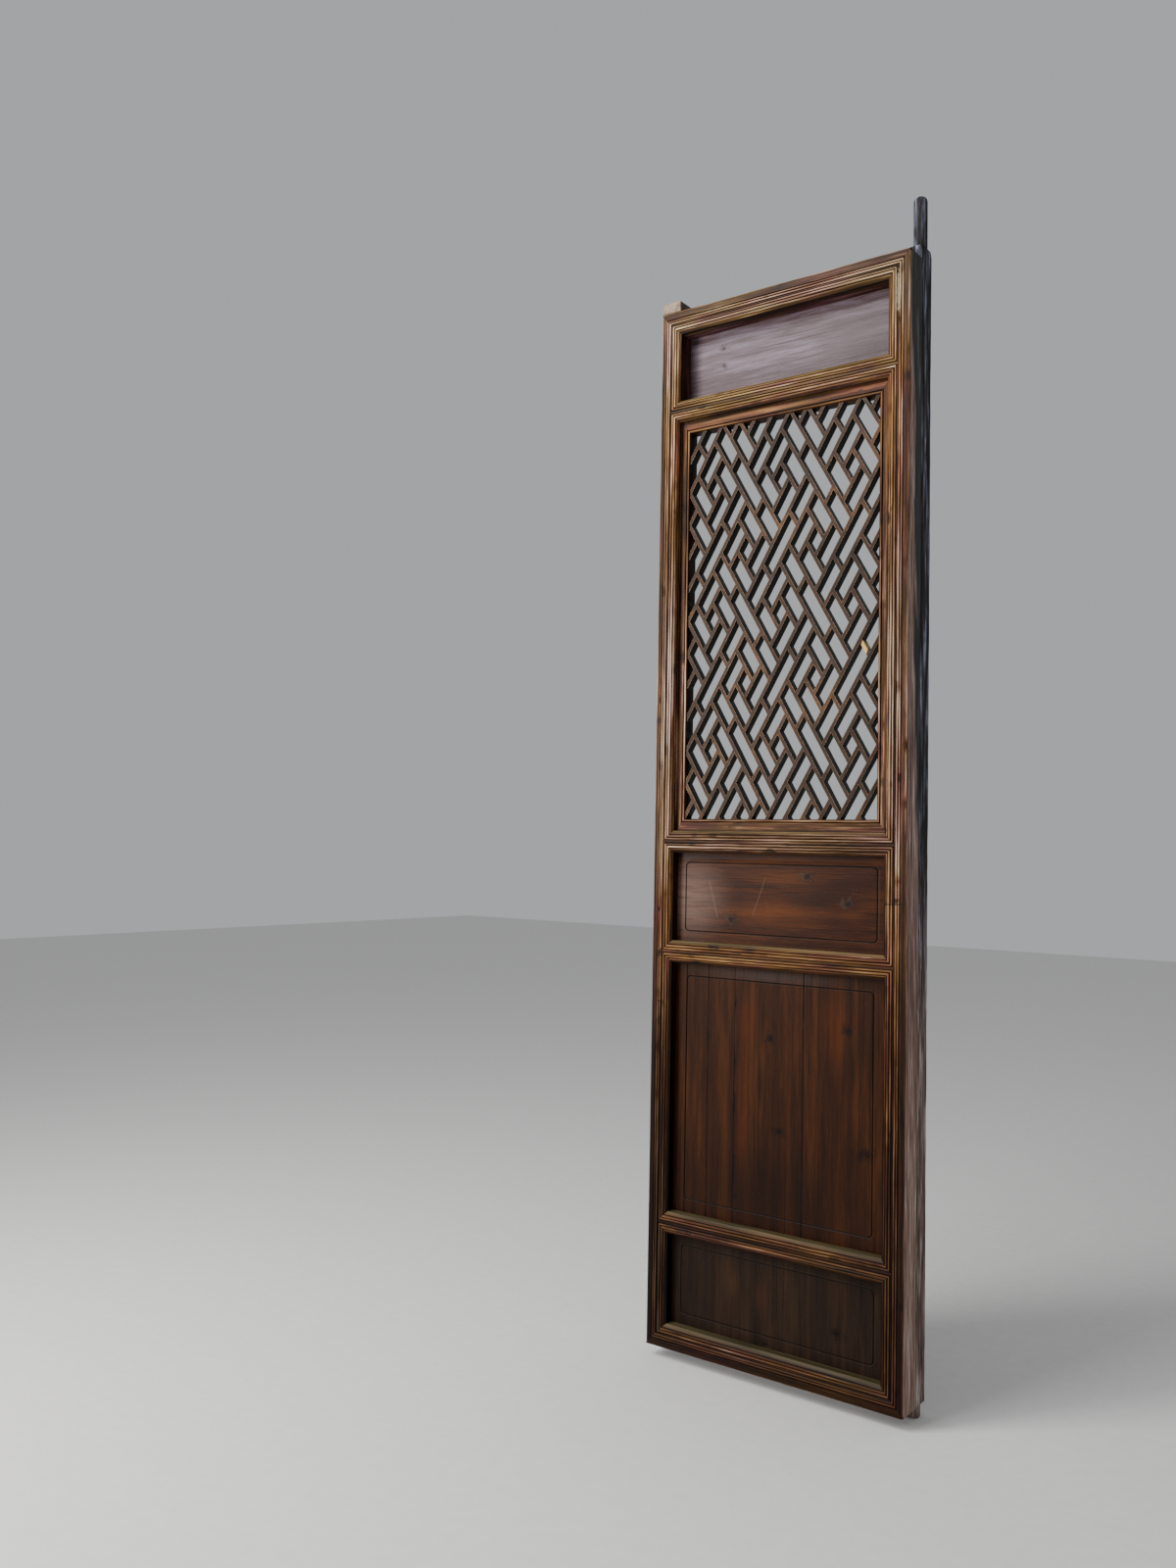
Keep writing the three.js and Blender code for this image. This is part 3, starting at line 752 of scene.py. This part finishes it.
def panel_wood(board):
    """A planed and varnished board."""
    material, tree, shader = new_material(board.name)
    axis = board.axis
    broad = noise_of(tree, grain_vector(tree, axis, 13, 0.9), 2.2, 4.0, 0.5, 0.4)
    grain = noise_of(tree, grain_vector(tree, axis, 40, 2.6), 3.0, 6.0, 0.65, 0.5)
    fibres = noise_of(tree, grain_vector(tree, axis, 200, 10), 2.0, 3.0)
    ripple = noise_of(tree, grain_vector(tree, "x", 170, 50), 2.0, 3.0, 0.6)
    tone = total(tree, ranged_line(tree, broad, 0.32, 0.68, 0.2, 0.8),
                 ranged_line(tree, grain, 0.25, 0.75, -board.streaks, board.streaks))
    tone = total(tree, tone, ranged_line(tree, fibres, 0.25, 0.75, -0.16, 0.16))
    dark, middle, pale = board.shades
    wood = ramp(tree, tone, [(0.0, dark), (0.5, middle), (1.0, pale)])
    lines = noise_of(tree, grain_vector(tree, axis, 95, 0.8, (2, 6, 1)), 2.2, 2.0, 0.5, 0.3)
    wood = mixed(tree, ranged(tree, lines, 0.58, 0.7, 0.0, 0.75), wood, dark)
    for x, z, wide, high, tint, strength in board.patches:
        place = near(tree, x, board.depth, z, (wide, 60, high), 0.05)
        place = product(tree, place, ranged(tree, grain, 0.25, 0.6, 0.4, 1.0))
        wood = mixed(tree, product(tree, place, strength), wood, tint)
    for x, z, size in board.knots:
        halo = near(tree, x, board.depth, z, (size * 2.2, 60, size * 1.7), 0.3, 0.5)
        wood = mixed(tree, product(tree, halo, 0.6), wood, dark)
        # A knot's rim takes a share of the painted highlight
        rim = near(tree, x - size / 3, board.depth, z, (size * 1.7, 60, size * 1.2), 0.4, 0.8)
        wood = mixed(tree, product(tree, rim, board.knot_highlight), wood, board.edge_highlight)
        core = near(tree, x, board.depth, z, (size * 1.1, 60, size * 0.85), 0.1, 0.5)
        wood = mixed(tree, product(tree, core, 0.85), wood, colour(14, 9, 10))
    # Painted glints of the crackled varnish, in the painted highlight colour
    specks = noise_of(tree, leaf_coordinates(tree), 300.0, 2.0)
    flecks = noise_of(tree, leaf_coordinates(tree), 14.0, 2.0)
    varnish_glints = product(tree, ranged(tree, specks, 0.68, 0.74, 0.0, 0.4),
                       ranged(tree, flecks, 0.5, 0.65))
    wood = mixed(tree, varnish_glints, wood, board.edge_highlight)
    for start, end, width, tint in board.scratches:
        scratch = product(tree, stroke(tree, start, end, board.depth, width), 0.25)
        wood = mixed(tree, scratch, wood, tint)
    # Soot with painted shade in the field's groove, dark board joints, and a painted highlight
    # beside the groove
    groove = ranged(tree, tone_of(tree), 0.1, 0.45, 0.85, 0.0)
    wood = mixed(tree, groove, wood, colour(12, 8, 7))
    wood = mixed(tree, ranged(tree, tone_of(tree), 0.6, 1.0, 0.0, 0.7), wood, board.edge_highlight)
    tree.links.new(wood, shader.inputs["Base Color"])
    tree.links.new(ranged_line(tree, grain, 0.2, 0.8, board.rough, board.rough + 0.15),
                   shader.inputs["Roughness"])
    shader.inputs["Specular IOR Level"].default_value = board.specular
    relief = total(tree, total(tree, fibres, grain), ripple)
    raise_bump(tree, shader, relief, 0.3)
    return material


def post_wood():
    """Weathered timber: grey-black with bluish bleached patches, and brown streaks low down."""
    material, tree, shader = new_material("post_wood")
    broad = noise_of(tree, grain_vector(tree, "z", 34, 3.5), 2.0, 4.0, 0.6, 0.3)
    checks = noise_of(tree, grain_vector(tree, "z", 170, 4), 2.5, 4.0, 0.7)
    tone = total(tree, ranged_line(tree, broad, 0.3, 0.7),
                 ranged_line(tree, checks, 0.2, 0.8, -0.25, 0.25))
    grey = ramp(tree, tone, [
        (0.0, colour(18, 17, 18)), (0.45, colour(48, 45, 46)), (0.75, colour(92, 94, 108)),
        (1.0, colour(158, 164, 186)),
    ])
    brown = ramp(tree, tone, [
        (0.0, colour(50, 38, 34)), (0.45, colour(108, 88, 80)), (0.75, colour(152, 132, 124)),
        (1.0, colour(196, 184, 178)),
    ])
    low = ranged(tree, height_on_leaf(tree), 0.28, 0.5, 0.85, 0.0)
    tree.links.new(mixed(tree, low, grey, brown), shader.inputs["Base Color"])
    shader.inputs["Roughness"].default_value = 0.85
    shader.inputs["Specular IOR Level"].default_value = 0.15
    raise_bump(tree, shader, checks, 0.8)
    return material


def horn_wood():
    """Raw end grain and side grain of the horn, greyed by dust."""
    material, tree, shader = new_material("horn_wood")
    grain = noise_of(tree, grain_vector(tree, "z", 120, 8), 3.0, 4.0, 0.6)
    patches = noise_of(tree, leaf_coordinates(tree), 60.0, 3.0)
    tone = total(tree, product(tree, grain, 0.6), product(tree, patches, 0.4))
    wood = ramp(tree, tone, [
        (0.32, colour(76, 58, 46)), (0.5, colour(138, 116, 98)), (0.68, colour(182, 162, 140)),
    ])
    inner = ranged(tree, depth_in_leaf(tree), 0.002, 0.006, 0.0, 0.8)
    tree.links.new(mixed(tree, inner, wood, colour(52, 40, 32)), shader.inputs["Base Color"])
    shader.inputs["Roughness"].default_value = 0.8
    raise_bump(tree, shader, grain, 0.5)
    return material


def floor_material():
    material, tree, shader = new_material("pale_floor")
    speckle = noise_of(tree, leaf_coordinates(tree), 30.0, 4.0)
    pale = ramp(tree, speckle, [(0.3, (0.72, 0.71, 0.69, 1)), (0.7, (0.76, 0.75, 0.73, 1))])
    tree.links.new(pale, shader.inputs["Base Color"])
    shader.inputs["Roughness"].default_value = 0.8
    return material


LOWER_THIRD = 0.3


def scaled_low(tones, share):
    """The same tones by height, with those of the lower third made darker or lighter."""
    return [
        (place, (*(share * value for value in tint[:3]), 1) if place <= LOWER_THIRD else tint)
        for place, tint in tones
    ]


# Painted light and shade: the lower third is painted darker on the left stile and lighter on the
# right one
upright_wood = {
    "left": frame_wood("frame_wood_left_low_shaded", "z", scaled_low(HEIGHT_TONES_AND_LIGHT, 0.84)),
    "right": frame_wood("frame_wood_right_low_lit", "z", scaled_low(HEIGHT_TONES_AND_LIGHT, 1.25)),
}
level_wood = frame_wood("frame_wood_level", "x", RAIL_TONES_AND_LIGHT, relief=0.74)
upright_lattice_wood = frame_wood("lattice_wood_upright", "z", reveals=False)
level_lattice_wood = frame_wood("lattice_wood_level", "x", relief=0.8, reveals=False)


# Stiles

REVEAL_SHADE = 0.55


def build_stile(name, side):
    """A stile: its outer moulding in one length, and an inner one beside each opening."""
    left = side == "left"
    outward = -1 if left else 1
    edge = stile_width if left else leaf_width - stile_width
    build = new_build()
    member = Member("z", edge, outward)
    foot, head = rail_spans["foot_rail"][1], rail_spans["top_rail"][0]
    add_strip(build, member, outer_line(stile_width), lambda s: foot - s + JOINT_GAP,
              lambda s: head + s - JOINT_GAP, MOULDING_LAYER)
    for bottom, top in openings.values():
        add_strip(build, member, inner_line() + [(half_moulding, GROOVE_DEPTH, SOOT_AND_SHADE)],
                  lambda s, low=bottom: low - s + JOINT_GAP,
                  lambda s, high=top: high + s - JOINT_GAP, MOULDING_LAYER)
    x = (0, stile_width) if left else (leaf_width - stile_width, leaf_width)
    add_block(build, "z", x, (MOULDING_LAYER, leaf_depth), (0, leaf_height), REVEAL_SHADE)
    materials = [upright_wood[side]]
    if left:
        materials.append(horn_wood())
        add_horn(build)
    piece = finish_mesh(name + "_wood", build, materials)
    dress(piece, "frame_wood", name)


HORN_ROUNDING = 12
HORN_CORNER = 1.5
HORN_MATERIAL = 1

# Front rings of the horn: how deep each lies, and how far its arrises are worn
HORN_FRONT = [(0, 2.0), (0.6, 0.6), (2.0, 0)]
HORN_BACK_WEAR = 2.0
HORN_ROUGHNESS = 0.6


def horn_outline(width, base):
    """Outline of the horn, with its outer corner rounded over."""
    outline = [(width, base), (width, horn_top - HORN_CORNER), (width - HORN_CORNER, horn_top)]
    steps = 8
    for step in range(steps + 1):
        turn = math.pi / 2 * step / steps
        outline.append((HORN_ROUNDING * (1 - math.sin(turn)),
                        horn_top - HORN_ROUNDING * (1 - math.cos(turn))))
    return outline + [(0, base)]


def add_horn(build):
    """The horn on top of the meeting stile, with worn arrises."""
    width = stile_width - JOINT_GAP
    base = leaf_height + JOINT_GAP
    depths = [*HORN_FRONT, *((d, 0) for d in spread(8, leaf_depth - 3, 6)),
              (leaf_depth, HORN_BACK_WEAR)]
    rings = []
    for depth, inset in depths:
        ring = []
        for x, z in horn_outline(width, base):
            rough = HORN_ROUGHNESS * abs(noise.noise(Vector((x / 9, depth / 9, z / 9))))
            if z <= base + 0.5:
                rough = 0
            worn_x = min(max(x, inset), width - inset) + (rough if x < 1 else -rough)
            worn_z = min(z, horn_top - inset) - rough
            ring.append((spot(worn_x, depth, worn_z), PLAIN))
        rings.append(add_ring(build, ring))
    join_rings(build, rings, HORN_MATERIAL)


# Rails

def build_rail(name):
    """A rail: the moulding of the opening under it, and that of the opening over it."""
    low, high = rail_spans[name]
    build = new_build()
    left, right = stile_width, leaf_width - stile_width
    if name in ("top_rail", "foot_rail"):
        member = Member("x", low, 1) if name == "top_rail" else Member("x", high, -1)
        add_strip(build, member, inner_line() + outer_line(high - low),
                  lambda s: left - min(s, stile_width) + JOINT_GAP,
                  lambda s: right + min(s, stile_width) - JOINT_GAP, MOULDING_LAYER)
    else:
        middle = (high - low) / 2
        for edge, outward in ((low, 1), (high, -1)):
            member = Member("x", edge, outward)
            line = inner_line() + [(middle, HOLLOW_DEPTH, 0.5)]
            add_strip(build, member, line, lambda s: left - s + JOINT_GAP,
                      lambda s: right + s - JOINT_GAP, MOULDING_LAYER)
    add_block(build, "x", (left + JOINT_GAP, right - JOINT_GAP), (MOULDING_LAYER, leaf_depth),
              (low, high), REVEAL_SHADE)
    piece = finish_mesh(name + "_wood", build, [level_wood])
    dress(piece, "frame_wood", name)


# Panels

FIELD_RADIUS = 11
FIELD_GROOVE_WIDTH = 3.4
FIELD_GROOVE_DEPTH = 1.6
FIELD_EDGE_REACH = 1.9
FIELD_EDGE_HIGHLIGHT = 0.7
SEAM_HALF = 1.3
SEAM_DEPTH = 0.7
SEAM_WANDER = 0.6
SEAM_TONE = 0.15
CUPPING = 0.45
CUPPING_REST = 0.5
FINE_STEP = 1.1
COARSE_STEP = 11


class Field:
    """The rounded rectangle that a groove marks on a board."""

    def __init__(self, opening, inset):
        self.centre = (leaf_width / 2, sum(opening) / 2)
        self.half = (leaf_width / 2 - stile_width - inset, (opening[1] - opening[0]) / 2 - inset)

    def distance(self, x, z):
        """Signed distance from the rectangle, in millimetres."""
        across = abs(x - self.centre[0]) - (self.half[0] - FIELD_RADIUS)
        up = abs(z - self.centre[1]) - (self.half[1] - FIELD_RADIUS)
        outside = math.hypot(max(across, 0), max(up, 0))
        return outside + min(max(across, up), 0) - FIELD_RADIUS

    def fine_spans(self):
        """Where the board's grid is close, across it and up it."""
        reach = FIELD_RADIUS * 0.8
        return [
            [(middle - half - 2, middle - half + reach),
             (middle + half - reach, middle + half + 2)]
            for middle, half in zip(self.centre, self.half)
        ]


def grid_lines(start, end, fine_spans):
    """Coordinates from start to end, close together inside the fine spans."""
    lines = [start]
    while lines[-1] < end:
        here = lines[-1]
        fine = any(low - COARSE_STEP <= here <= high for low, high in fine_spans)
        step = FINE_STEP if fine else COARSE_STEP
        lines.append(min(end, here + step))
    return lines


def board_point(x, z, front, field, joints):
    """Depth and tone of a point on a board's face."""
    depth = front + CUPPING_REST + CUPPING * noise.noise(Vector((x / 130, z / 170, front)))
    shade = PLAIN
    if field is not None:
        gap = abs(field.distance(x, z)) / (FIELD_GROOVE_WIDTH / 2)
        if gap < 1:
            depth += FIELD_GROOVE_DEPTH * (1 - gap * gap)
            shade = SOOT_AND_SHADE
        # Beside the groove, a tone for a painted highlight
        elif gap < FIELD_EDGE_REACH:
            shade = FIELD_EDGE_HIGHLIGHT
    for joint in joints:
        middle = joint + SEAM_WANDER * noise.noise(Vector((joint, z / 90, 0)))
        gap = abs(x - middle) / SEAM_HALF
        if gap < 1:
            depth += SEAM_DEPTH * (1 - gap)
            shade = min(shade, SEAM_TONE)
    return depth, shade


def close_board(build, rows, back):
    """Adds the four edges and the flat back behind rows of vertices."""
    tone = build.verts.layers.float["tone"]
    rim = rows[0] + [row[-1] for row in rows[1:]]
    rim += rows[-1][-2::-1] + [row[0] for row in rows[-2:0:-1]]
    behind = []
    for vertex in rim:
        other = build.verts.new(Vector((vertex.co.x, spot(0, back, 0).y, vertex.co.z)))
        other[tone] = SHADE
        behind.append(other)
    for k in range(len(rim)):
        after = (k + 1) % len(rim)
        build.faces.new((rim[k], rim[after], behind[after], behind[k]))
    build.faces.new(behind)


def build_panel(name, slot, material, inset=None, joints=()):
    """A floating board or boards: a field marked by a groove, board joints, and slight cupping."""
    low, high = (on_leaf(corner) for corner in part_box(name))
    build = new_build()
    field = None
    fine_x, fine_z = [], []
    if inset is not None:
        field = Field(openings[name.replace("_panel", "")], inset)
        fine_x, fine_z = field.fine_spans()
    fine_x = fine_x + [(joint - 1, joint + 1) for joint in joints]
    columns = grid_lines(low[0], high[0], fine_x)
    rows = []
    for z in grid_lines(low[2], high[2], fine_z):
        points = []
        for x in columns:
            depth, shade = board_point(x, z, low[1], field, joints)
            points.append((spot(x, depth, z), shade))
        rows.append(add_ring(build, points))
    for lower, upper in zip(rows, rows[1:]):
        for k in range(len(columns) - 1):
            build.faces.new((lower[k], lower[k + 1], upper[k + 1], upper[k]))
    close_board(build, rows, high[1])
    piece = finish_mesh(name + "_board", build, [material], CRISP_ANGLE)
    dress(piece, slot, name)


# Inner frame round the fret

LATTICE_BEAD_WIDTH = 8
# How much of the bead's wear and painted highlight the inner frame keeps
LATTICE_WEAR_AND_HIGHLIGHT = 0.84
LATTICE_FLAT_DEPTH = 0.4


def lattice_width(side, axis):
    """Width across one member of the inner frame, where axis is 0 for x and 2 for z."""
    low, high = (on_leaf(corner)[axis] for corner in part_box("lattice_frame_" + side))
    return high - low


def lattice_line(front, width):
    """Face line of the inner frame: a bead beside the fret, and then a flat."""
    flat = front + LATTICE_FLAT_DEPTH
    round_part = bead(0, LATTICE_BEAD_WIDTH)
    return [
        (0, front + GROOVE_DEPTH, 0.3),
        *((s, front + depth, tone * LATTICE_WEAR_AND_HIGHLIGHT) for s, depth, tone in round_part),
        (LATTICE_BEAD_WIDTH + 1.5, flat, 0.5),
        (width / 2 + 4, flat, 0.55),
        (width, flat, 0.35),
    ]


def build_lattice_member(side, along):
    """A mitred member of the inner frame, measured outwards from the fret's edge."""
    name = "lattice_frame_" + side
    low, high = (on_leaf(corner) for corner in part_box(name))
    fret_low, fret_high = (on_leaf(corner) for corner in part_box("fret"))
    across, up = (0, 2) if along == "z" else (2, 0)
    width = high[across] - low[across]
    edge, outward = (high[across], -1) if side in ("left", "bottom") else (low[across], 1)
    other = lattice_width("left", 0) if along == "x" else lattice_width("top", 2)
    slope = other / width
    build = new_build()
    member = Member(along, edge, outward)
    add_strip(build, member, lattice_line(low[1], width), lambda s: fret_low[up] - s * slope,
              lambda s: fret_high[up] + s * slope, high[1])
    wood = upright_lattice_wood if along == "z" else level_lattice_wood
    piece = finish_mesh(name + "_wood", build, [wood])
    dress(piece, "frame_wood", name)


# Fret

# Tones of the bars: arrises worn and with a painted highlight, plain faces, and sides darkened
# with painted shade
FRET_ARRIS = 1.5
FRET_ARRIS_WEAR_AND_HIGHLIGHT = 0.9
FRET_FACE_TONE = 0.39
FRET_SIDE_SHADE = 0.1


def build_fret():
    """The fret's bars with their front arrises rubbed round and painted light, and their sides
    painted dark as shade.
    """
    build = bmesh.new()
    build.from_mesh(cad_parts["fret"].data)
    bmesh.ops.remove_doubles(build, verts=build.verts, dist=0.02 * MM)
    bmesh.ops.dissolve_limit(build, angle_limit=math.radians(0.5), verts=build.verts,
                             edges=build.edges)
    front = min(vertex.co.y for vertex in build.verts)
    close = 0.05 * MM

    def at_front(edge):
        return all(abs(vertex.co.y - front) < close for vertex in edge.verts)

    arrises = [edge for edge in build.edges if at_front(edge) and len(edge.link_faces) == 2
               and edge.calc_face_angle(0) > 0.5]
    made = bmesh.ops.bevel(build, geom=arrises, offset=FRET_ARRIS * MM, segments=2, profile=0.6,
                           affect="EDGES", clamp_overlap=True)
    rubbed_and_lit = set(made["faces"])
    tone = build.loops.layers.float.new("tone")
    for face in build.faces:
        if face in rubbed_and_lit:
            value = FRET_ARRIS_WEAR_AND_HIGHLIGHT
        elif face.normal.y < -0.9:
            value = FRET_FACE_TONE
        else:
            value = FRET_SIDE_SHADE
        for loop in face.loops:
            loop[tone] = value
    bmesh.ops.triangulate(build, faces=[face for face in build.faces if len(face.verts) > 4])
    piece = finish_mesh("fret_bars", build, [fret_wood()], CRISP_ANGLE)
    dress(piece, "fret_wood", "fret")


# Hinge post and pivots

POST_ROUNDING = 4
POST_HEAD = 38
POST_TOP_EASE = 3
POST_TOP_WEAR = 2.0
PIVOT_SIDES = 32
PIVOT_RADIUS = 17
PIVOT_RISE = 14
PIVOT_FLAT = 6
PIVOT_CHAMFER = 2
PIVOT_SINK = 2


def add_post_shaft(build, low, high):
    """The square shaft, with rounded arrises and a worn, checked surface."""
    x0, front = low
    x1, back = high
    left, right = x0 + POST_ROUNDING, x1 - POST_ROUNDING
    near_side, far_side = front + POST_ROUNDING, back - POST_ROUNDING
    corners = []
    steps = 3
    quarters = ((right, far_side), (left, far_side), (left, near_side), (right, near_side))
    for quarter, (corner_x, corner_d) in enumerate(quarters):
        for step in range(steps + 1):
            turn = math.pi / 2 * (quarter + step / steps)
            corners.append((corner_x + POST_ROUNDING * math.cos(turn),
                            corner_d + POST_ROUNDING * math.sin(turn)))
    centre = ((x0 + x1) / 2, (front + back) / 2)
    top = leaf_height + POST_HEAD
    rings = []
    for z in spread(0, top, 14):
        ring = []
        for x, d in corners:
            worn = 0.9 * abs(noise.noise(Vector((x / 25, d / 25, z / 60))))
            worn += 0.5 * abs(noise.noise(Vector((x / 4, d / 4, z / 120))))
            if z > top - POST_TOP_EASE:
                worn += POST_TOP_WEAR
            x += math.copysign(worn, centre[0] - x)
            d += math.copysign(worn, centre[1] - d)
            ring.append((spot(x, d, z), PLAIN))
        rings.append(add_ring(build, ring))
    join_rings(build, rings)


def add_pivot(build, centre, profile):
    """A round pivot from (z, radius) pairs, a little out of true."""
    rings = []
    for z, radius in profile:
        ring = []
        for side in range(PIVOT_SIDES):
            turn = 2 * math.pi * side / PIVOT_SIDES
            cos, sin = math.cos(turn), math.sin(turn)
            worn = 0.7 * abs(noise.noise(Vector((cos * 3, sin * 3, z / 30))))
            worn += 0.5 * abs(noise.noise(Vector((cos * 9, sin * 9, z / 90))))
            place = spot(centre[0] + (radius - worn) * cos, centre[1] + (radius - worn) * sin, z)
            ring.append((place, PLAIN))
        rings.append(add_ring(build, ring))
    join_rings(build, rings)


def build_post():
    """A weathered post with worn arrises, and round pivots on its two ends."""
    low, high = (on_leaf(corner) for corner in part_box("hinge_post"))
    centre = ((low[0] + high[0]) / 2, (low[1] + high[1]) / 2)
    foot, tip = low[2], high[2]
    build = new_build()
    add_post_shaft(build, low[:2], high[:2])
    add_pivot(build, centre, [(foot, PIVOT_RADIUS - PIVOT_CHAMFER),
                              (foot + PIVOT_CHAMFER, PIVOT_RADIUS), (PIVOT_SINK, PIVOT_RADIUS)])
    shoulder = tip - PIVOT_RISE
    head = leaf_height + POST_HEAD - PIVOT_SINK
    profile = [(z, PIVOT_RADIUS) for z in spread(head, shoulder, 12)]
    for turn in (0.3, 0.6, 0.9, 1.2, math.pi / 2):
        radius = PIVOT_FLAT + (PIVOT_RADIUS - PIVOT_FLAT) * math.cos(turn)
        profile.append((shoulder + PIVOT_RISE * math.sin(turn), radius))
    add_pivot(build, centre, profile)
    piece = finish_mesh("hinge_post_timber", build, [post_wood()])
    dress(piece, "post_wood", "hinge_post")


# Stage

CAMERA_PLACE = (1846.7, -2776.4, 1285.8)
CAMERA_TURN = 36.67
CAMERA_RISE = 2.70
CAMERA_ROLL = 1.09
CAMERA_LENS = 29.025
SENSOR = 36
FLOOR_HALF = 14.0
FLOOR_BELOW_LEAF = 30.5


def build_camera():
    data = bpy.data.cameras.new("camera")
    data.sensor_width = SENSOR
    data.lens = CAMERA_LENS
    data.clip_start = 0.05
    camera = bpy.data.objects.new("camera", data)
    turned = (Matrix.Rotation(math.radians(CAMERA_TURN), 4, "Z")
              @ Matrix.Rotation(math.radians(90 + CAMERA_RISE), 4, "X")
              @ Matrix.Rotation(math.radians(CAMERA_ROLL), 4, "Z"))
    camera.matrix_world = Matrix.Translation(spot(*CAMERA_PLACE)) @ turned
    bpy.context.scene.collection.objects.link(camera)
    bpy.context.scene.camera = camera


def build_floor():
    build = bmesh.new()
    signs = ((-1, -1), (1, -1), (1, 1), (-1, 1))
    build.faces.new([build.verts.new((x * FLOOR_HALF, y * FLOOR_HALF, 0)) for x, y in signs])
    floor = finish_mesh("floor", build, [floor_material()])
    floor.location = (0, 0, spot(0, 0, -FLOOR_BELOW_LEAF).z)


def add_light(name, place, target, size, power, tint):
    data = bpy.data.lights.new(name, "AREA")
    data.shape = "RECTANGLE"
    data.size, data.size_y = size
    data.energy = power
    data.color = tint
    light = bpy.data.objects.new(name, data)
    light.location = spot(*place)
    light.rotation_mode = "QUATERNION"
    light.rotation_quaternion = (spot(*target) - light.location).to_track_quat("-Z", "Y")
    bpy.context.scene.collection.objects.link(light)


def build_lights():
    world = bpy.data.worlds.new("pale_room")
    bpy.context.scene.world = world
    world.use_nodes = True
    background = world.node_tree.nodes["Background"]
    background.inputs["Color"].default_value = (0.86, 0.88, 0.9, 1)
    background.inputs["Strength"].default_value = 0.5
    add_light("window", place=(-1750, -2800, 1900), target=(300, 0, 1500), size=(1.2, 2.2),
              power=120, tint=(1.0, 0.98, 0.95))
    add_light("skylight", place=(-1000, -2700, 4300), target=(346, 0, 1900), size=(2.0, 1.4),
              power=150, tint=(0.96, 0.98, 1.0))


build_camera()
build_floor()
build_lights()
build_stile("meeting_stile", "left")
build_stile("hinge_stile", "right")
for rail in RAILS:
    build_rail(rail)
build_panel("top_panel", "upper_panel_wood", panel_wood(TOP_BOARD))
build_panel("waist_panel", "waist_panel_wood", panel_wood(WAIST_BOARD), inset=26)
build_panel("skirt_panel", "skirt_panel_wood", panel_wood(SKIRT_BOARD), inset=34,
            joints=(90, 155, 232.6, 424.5))
build_panel("foot_panel", "foot_panel_wood", panel_wood(FOOT_BOARD), inset=28)
for side, along in (("left", "z"), ("right", "z"), ("top", "x"), ("bottom", "x")):
    build_lattice_member(side, along)
build_fret()
build_post()
